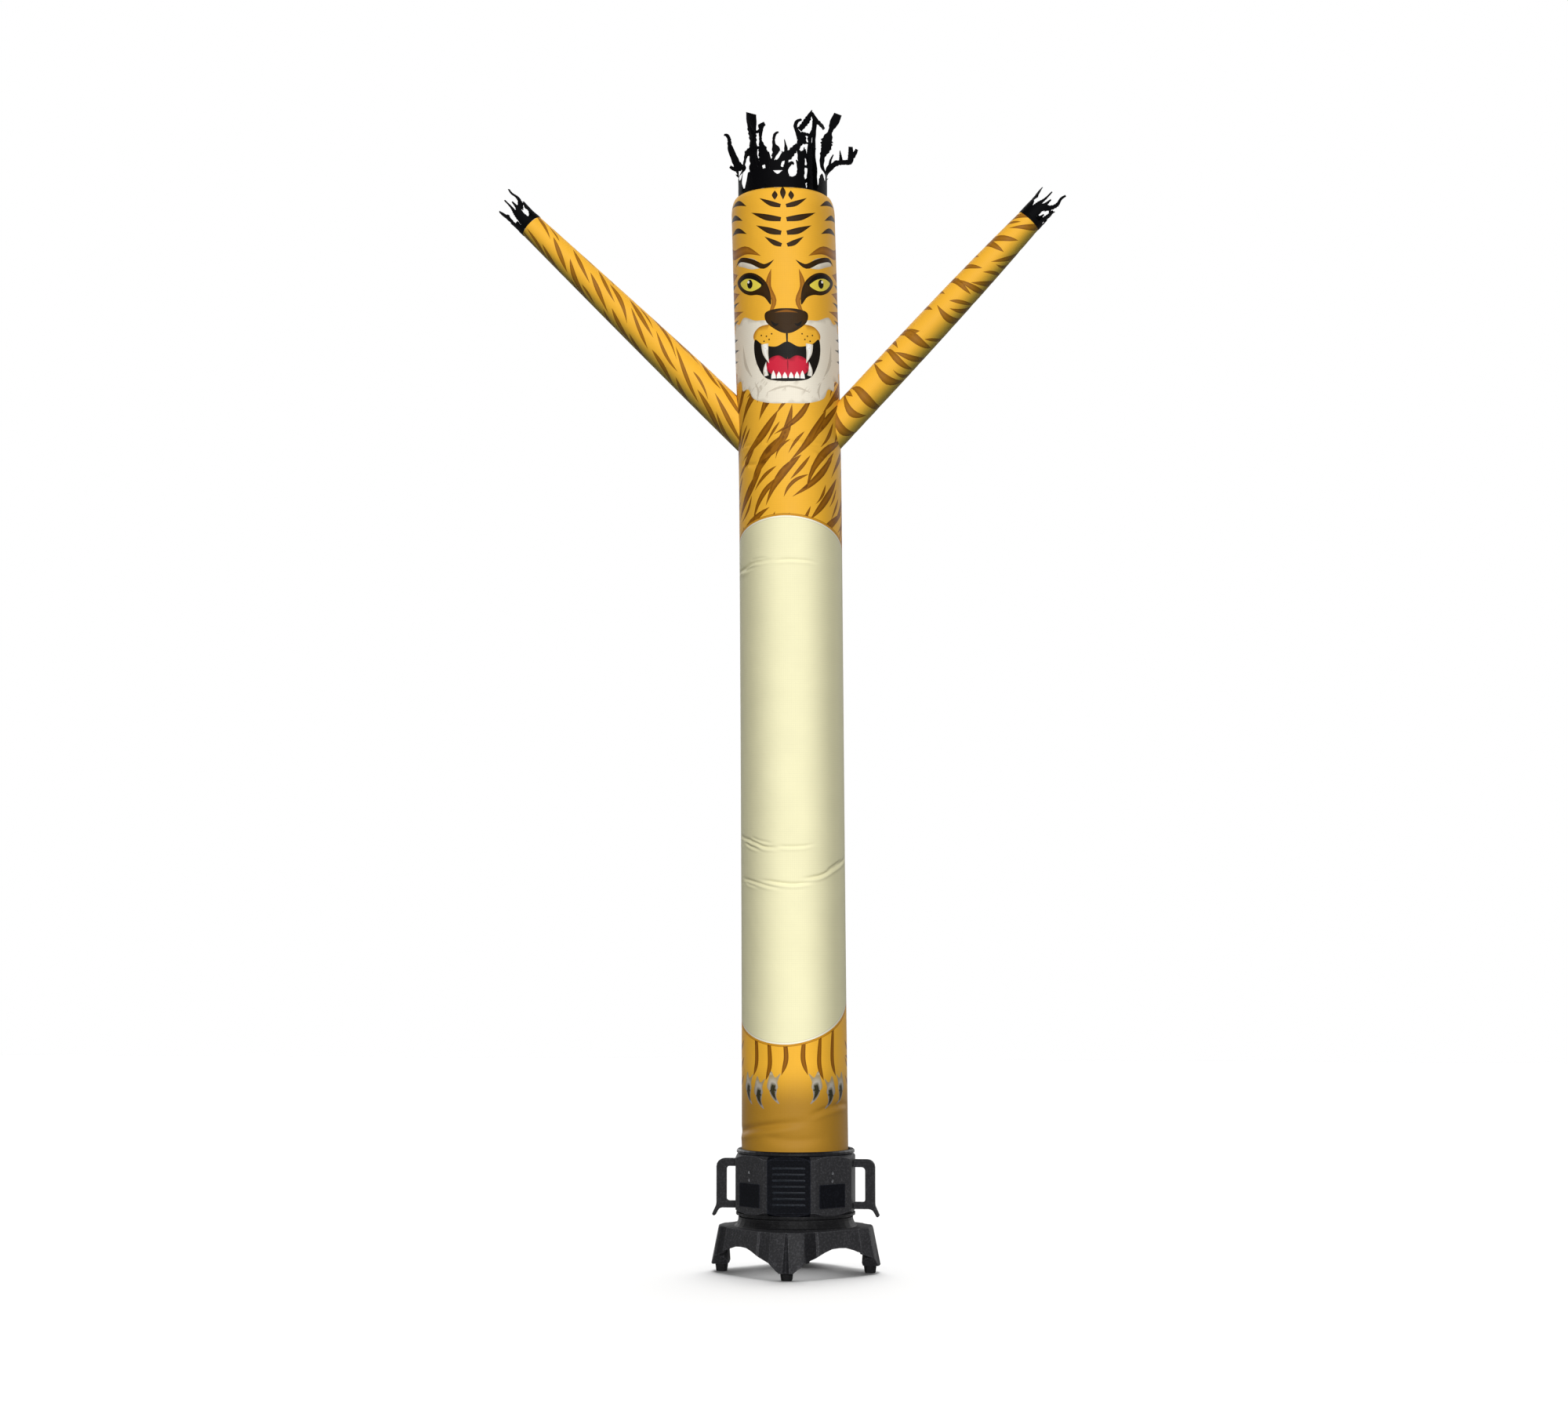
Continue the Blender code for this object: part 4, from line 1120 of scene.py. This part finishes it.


# ---- the blower ----


# Moulded plastic: a grain in the mould, and edges a little paler, partly as wear and partly as a painted
# highlight where a rounded edge catches the light.
def plastic(name, colour, roughness, grain, worn=2.4, shine=0.10, metallic=0.0):
    material, tree, shader = newMaterial(name)
    place = addNode(tree, "TexCoord", give="Object")
    pebbles = addNode(tree, "TexVoronoi", vector=place, scale=420.0)
    cloudy = addNode(tree, "TexNoise", vector=place, scale=14.0, detail=5.0, roughness=0.6)
    dusty = addNode(tree, "TexNoise", vector=place, scale=190.0, detail=2.0)
    # an edge is where the rounded surface would turn away from the flat one
    rounded = addNode(tree, "Bevel", samples=6, radius=2.8 * mm)
    flat = addNode(tree, "NewGeometry", give="Normal")
    turned = addNode(tree, "VectorMath", rounded, flat, operation="DOT_PRODUCT", give="Value")
    # wear and painted highlight: the edges are made paler
    edges = addNode(tree, "MapRange", turned, 0.995, 0.93, 1.0, 1.0 + worn)
    tone = addNode(tree, "MapRange", cloudy, 0.0, 1.0, 0.75, 1.30)
    specks = addNode(tree, "MapRange", dusty, 0.48, 0.72, 0.85, 1.9)
    mottled = addNode(tree, "Math", tone, specks, operation="MULTIPLY")
    pale = addNode(tree, "Math", mottled, edges, operation="MULTIPLY")
    tinted = addNode(tree, "VectorMath", colour, scale=pale, operation="SCALE")
    rough = addNode(tree, "MapRange", cloudy, 0.0, 1.0, roughness - 0.08, roughness + 0.08)
    bump = addNode(tree, "Bump", strength=grain, distance=0.5 * mm, height=pebbles)
    fill(shader, baseColor=tinted, roughness=rough, normal=bump, metallic=metallic)
    shader.inputs["Specular IOR Level"].default_value = shine
    return material


blackPlastic = plastic("blackPlastic", srgb(42, 42, 44), 0.58, 0.60)
# painted shade: a darker plastic for the grooves and recesses of the base
recessShadePlastic = plastic("recessShadePlastic", srgb(29, 29, 31), 0.62, 0.60, shine=0.05)
handlePlastic = plastic("handlePlastic", srgb(32, 32, 34), 0.58, 0.50)
# painted shade: the neck is darker, for the shade under the housing
neckShadePlastic = plastic("neckShadePlastic", srgb(19, 19, 20), 0.50, 0.45, shine=0.08)
# painted shade: the lip is darker, for the shade the cloth throws on it, and glossier
lipShadePlastic = plastic("lipShadePlastic", srgb(20, 20, 22), 0.40, 0.30, 1.2, 0.12)
darkPlate = plastic("darkPlate", srgb(13, 14, 18), 0.55, 0.10, 3.0, 0.03)
rubber = plastic("rubber", srgb(20, 20, 21), 0.72, 0.35, 0.6)
screwSteel = plastic("screwSteel", srgb(96, 97, 100), 0.38, 0.05, 0.3, 0.5, metallic=1.0)

finishes = {
    "black_plastic": blackPlastic,
    "dark_plate": darkPlate,
    "rubber": rubber,
    "screw_steel": screwSteel,
}
ownFinish = {
    "blower_neck": neckShadePlastic,
    "outlet_lip": lipShadePlastic,
    "handle_left": handlePlastic,
    "handle_right": handlePlastic,
}
slots = {row["node"]: row["material_slot"] for row in frame["record"]["subparts"]}
softEdges = {"outlet_lip": 1.5 * mm, "handle_left": 2 * mm, "handle_right": 2 * mm, "cable_inlet": 1 * mm}
for name, node in frame["nodes"].items():
    if slots[name] in finishes:
        node.data.materials.clear()
        node.data.materials.append(ownFinish.get(name, finishes[slots[name]]))
    if name in softEdges:
        soft = node.modifiers.new("softEdges", "BEVEL")
        soft.width = softEdges[name]
        soft.segments = 2
        soft.angle_limit = math.radians(28)
        soft.harden_normals = True


def shadedPiece(name, points, faces, material, crease):
    mesh = bpy.data.meshes.new(name)
    mesh.from_pydata(points, [], faces)
    solid = bmesh.new()
    solid.from_mesh(mesh)
    bmesh.ops.recalc_face_normals(solid, faces=solid.faces)
    solid.to_mesh(mesh)
    solid.free()
    mesh.shade_smooth()
    mesh.set_sharp_from_angle(angle=math.radians(crease))
    return finishMesh(name, mesh, material)


# Loops of points joined round and round into one closed skin. The picked faces, each by its column and its
# place along the loop, get the second material.
def closedSkin(name, loops, crease, material, second, picked):
    count = len(loops[0])
    faces = []
    for i in range(len(loops)):
        j = (i + 1) % len(loops)
        for k in range(count):
            m = (k + 1) % count
            faces.append((i * count + k, i * count + m, j * count + m, j * count + k))
    piece = shadedPiece(name, [point for loop in loops for point in loop], faces, material, crease)
    piece.data.materials.append(second)
    for polygon in piece.data.polygons:
        if divmod(polygon.index, count) in picked:
            polygon.material_index = 1
    return piece


base = {
    "top": 132 * mm,
    "plate": 6 * mm,
    "flare": 0.86,
    "nearFloor": 21 * mm,
    "intake": 150 * mm,
    "thickWall": 20 * mm,
    # roundings in millimetres: below the deck or above the lower edge, and inwards
    "upperRound": ((0.0, 4.0), (0.5, 2.0), (1.7, 0.6), (4.0, 0.0)),
    "lowerRound": ((3.0, 0.0), (0.9, 0.9), (0.0, 3.0)),
    # from a leg's middle, in millimetres: sideways at the deck and near the floor, reach at the deck,
    # height of the lower edge, thickness of the wall there
    "leg": (
        (0, 0, 218.6, 21, 44), (3.2, 9.6, 222, 21, 47), (19, 19, 219.6, 21, 46), (30, 29, 218, 30, 45),
        (41, 41, 216, 42, 30), (46, 45.5, 214, 47, 12), (50, 50, 208, 49, 8), (78, 78, 187.6, 61, 6),
        (84, 84, 188, 65, 6), (100, 100, 172, 74, 6), (118, 118, 154, 81.5, 6), (136, 136, 136, 83, 6),
    ),
    # each leg's groove and the recess beside it lie deeper, and are painted darker as shade
    "darkColumns": (9, 10, 16),
    "darkRings": (3, 4, 5),
}


def makeBase():
    top, under = base["top"], base["top"] - base["plate"]
    middle = Vector((tube["axisX"], 0, 0))
    half = base["leg"]
    quarter = [(-s, -low, *rest) for s, low, *rest in reversed(half[1:-1])] + list(half)
    loops = []
    for leg in range(4):
        turn = math.pi / 2 * leg
        for sideways, lower, reach, edge, wall in quarter:

            def at(height, inward=0.0):
                s = sideways + (lower - sideways) * (top - height) / (top - base["nearFloor"])
                x = (s * math.cos(turn) + reach * math.sin(turn)) * mm
                y = (s * math.sin(turn) - reach * math.cos(turn)) * mm
                wide = 1 + base["flare"] * (top - height) - inward / math.hypot(x, y)
                return middle + Vector((x * wide, y * wide, height))

            low, wall = edge * mm, wall * mm
            ray = at(top) - middle
            ray.z = 0
            rim = middle + ray.normalized() * base["intake"]
            inner = min(wall, base["thickWall"])
            loops.append([
                rim + Vector((0, 0, top)),
                *(at(top - drop * mm, inward * mm) for drop, inward in base["upperRound"]),
                *(at(low + rise * mm, inward * mm) for rise, inward in base["lowerRound"]),
                at(low, wall), at(under, inner), rim + Vector((0, 0, under)),
            ])
    columns = [len(quarter) * leg + k for leg in range(4) for k in base["darkColumns"]]
    picked = {(column, ring) for column in columns for ring in base["darkRings"]}
    piece = closedSkin("blowerBase", loops, 24, blackPlastic, recessShadePlastic, picked)
    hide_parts("blower_base")
    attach(piece, "root")
    print("blower base", len(piece.data.polygons), "faces")


housing = {
    "low": 170.8 * mm,
    "high": 336.6 * mm,
    "flat": 166 * mm,
    "bore": 144.5 * mm,
    "bevel": 13.5 * mm,
    "leastBevel": 0.8 * mm,
    "columns": (-62.3, -40, -20, 0, 20, 40, 62.3),  # across a side, in millimetres
}


# Eight flat sides with a narrow strip along each corner, bevelled round at the top and the bottom.
def makeHousing():
    flat, low, high, bore = (housing[key] for key in ("flat", "low", "high", "bore"))
    spread = flat / math.cos(math.pi / 8) - flat + 1.5 * mm
    columns = housing["columns"]
    loops = []
    for side in range(8):
        turn = math.pi / 4 * side
        for column in columns:
            u = column * mm
            x = flat * math.sin(turn) + u * math.cos(turn)
            y = -flat * math.cos(turn) + u * math.sin(turn)
            reach = math.hypot(x, y)
            cut = max(housing["leastBevel"], housing["bevel"] * (reach - flat - 0.5 * mm) / spread)
            deck = flat if reach > flat + 1 * mm else reach - housing["leastBevel"]
            loops.append([
                Vector((tube["axisX"] + x * radius / reach, y * radius / reach, height))
                for radius, height in ((bore, low), (deck, low), (reach, low + cut),
                                       (reach, high - cut), (deck, high), (bore, high))
            ])
    frontSide = {(column, ring) for column in range(len(columns) - 1) for ring in (1, 2, 3)}
    piece = closedSkin("blowerHousing", loops, 18, blackPlastic, darkPlate, frontSide)
    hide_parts("blower_housing")
    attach(piece, "root")
    print("blower housing", len(piece.data.polygons), "faces")


ribs = {
    "count": 7,
    "middle": 254.5 * mm,
    "pitch": 17 * mm,
    "reach": 44 * mm,
    "half": 3 * mm,
    "seat": 2.0 * mm,
    "rings": ((0.0, 0.0), (0.8, 0.0), (1.4, 0.8)),  # outwards and inset, in millimetres
    "corners": 20,
}


# Plain raised ribs across the front plate.
def makePlateRibs():
    face = housing["flat"] + ribs["seat"]
    count, half = ribs["corners"], ribs["half"]
    points, faces = [], []
    for row in range(ribs["count"]):
        height = ribs["middle"] + (row - (ribs["count"] - 1) / 2) * ribs["pitch"]
        first = len(points)
        for out, inset in ribs["rings"]:
            width = half - inset * mm
            for k in range(count):
                angle = 2 * math.pi * (k + 0.5) / count
                across = math.copysign(ribs["reach"], math.cos(angle)) + width * math.cos(angle)
                up = height + width * math.sin(angle)
                points.append((tube["axisX"] + across, -face - out * mm, up))
        for low in (first, first + count):
            for k in range(count):
                m = (k + 1) % count
                faces.append((low + k, low + m, low + count + m, low + count + k))
        for low in (first, first + 2 * count):
            faces.append(tuple(range(low, low + count)))
    ribPlastic = plastic("ribPlastic", srgb(25, 28, 33), 0.5, 0.10, 1.0)
    piece = shadedPiece("plateRibs", points, faces, ribPlastic, 40)
    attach(piece, "root")
    print("plate ribs", len(piece.data.polygons), "faces")


makeBase()
makeHousing()
makePlateRibs()


# ---- the studio ----

# Each lamp: the direction in degrees from the front and above the floor, the strength, and the softness
# in degrees.
studio = {
    "fill": 0.09,
    "object": {"key": (9, 20, 1.05, 25), "backLeft": (-145, 25, 0.42, 50), "backRight": (145, 25, 0.42, 50)},
    # the floor has lamps of its own, so that no long shadow lies on it
    "floor": {"top": (180, 84, 0.46, 30), "behind": (180, 48, 0.66, 60)}
    | {"tent" + str(turn): (turn, 30, 0.08, 80) for turn in (0, 90, 180, 270)},
    "floorSize": 14.0,
    "floorTone": (0.90, 0.92),
}


def makeFloor():
    mesh = bpy.data.meshes.new("floor")
    size = studio["floorSize"]
    corners = [(-size, -size, 0), (size, -size, 0), (size, size, 0), (-size, size, 0)]
    mesh.from_pydata(corners, [], [range(4)])
    material, tree, shader = newMaterial("paleFloor")
    place = addNode(tree, "TexCoord", give="Object")
    cloudy = addNode(tree, "TexNoise", vector=place, scale=1.5, detail=2.0)
    dullest, palest = studio["floorTone"]
    fill(shader, baseColor=addNode(tree, "MapRange", cloudy, toMin=dullest, toMax=palest), roughness=0.9)
    shader.inputs["Specular IOR Level"].default_value = 0.1
    floor = finishMesh("floor", mesh, material)
    floor.visible_diffuse = False
    return floor


def sun(name, turn, height, strength, softness):
    light = bpy.data.lights.new(name, "SUN")
    light.energy = strength * math.pi
    light.angle = math.radians(softness)
    lamp = bpy.data.objects.new(name, light)
    turn, height = math.radians(turn), math.radians(height)
    spot = Vector((math.sin(turn) * math.cos(height), -math.cos(turn) * math.cos(height), math.sin(height)))
    lamp.rotation_euler = spot.to_track_quat("Z", "Y").to_euler()
    bpy.context.scene.collection.objects.link(lamp)
    return lamp


def makeStudio(floor):
    world = bpy.data.worlds.new("studio")
    world.use_nodes = True
    tree = world.node_tree
    softLight = fill(tree.nodes["Background"], color=(1, 1, 1, 1), strength=studio["fill"]).outputs[0]
    backdrop = addNode(tree, "Background", color=(1, 1, 1, 1), strength=1.0)
    both = addNode(tree, "MixShader", addNode(tree, "LightPath", give="Is Camera Ray"), softLight, backdrop)
    fill(tree.nodes["World Output"], surface=both)
    bpy.context.scene.world = world
    for part, state in (("object", "EXCLUDE"), ("floor", "INCLUDE")):
        for name, settings in studio[part].items():
            lamp = sun(name, *settings)
            group = bpy.data.collections.new(name + "OnFloor")
            group.objects.link(floor)
            lamp.light_linking.receiver_collection = group
            group.collection_objects[0].light_linking.link_state = state
    # only the base and its feet throw a shadow from behind, close around the feet
    low = bpy.data.collections.new("lowPieces")
    feet = [node for name, node in frame["nodes"].items() if "foot_" in name]
    for piece in [bpy.data.objects["blowerBase"]] + feet:
        low.objects.link(piece)
    bpy.data.objects["behind"].light_linking.blocker_collection = low
    bpy.context.scene.view_settings.view_transform = "Standard"
    print("studio", sum(len(studio[part]) for part in ("object", "floor")), "lamps")


shot = {
    "distance": 8.0,
    "turn": math.radians(7),
    "height": 0.9432,
    "pitch": math.radians(4.708),
    "lens": 63.27,
    "sensor": 36.0,
    "aimX": 0.0101,
}


def makeCamera():
    lens = bpy.data.cameras.new("camera")
    lens.lens = shot["lens"]
    lens.sensor_width = shot["sensor"]
    lens.sensor_fit = "HORIZONTAL"
    lens.clip_end = 60
    camera = bpy.data.objects.new("camera", lens)
    turn, pitch, distance = shot["turn"], shot["pitch"], shot["distance"]
    camera.location = (shot["aimX"] + distance * math.sin(turn), -distance * math.cos(turn), shot["height"])
    ahead = Vector((-math.sin(turn) * math.cos(pitch), math.cos(turn) * math.cos(pitch), math.sin(pitch)))
    camera.rotation_euler = ahead.to_track_quat("-Z", "Y").to_euler()
    bpy.context.scene.collection.objects.link(camera)
    bpy.context.scene.camera = camera
    print("camera")


makeStudio(makeFloor())
makeCamera()
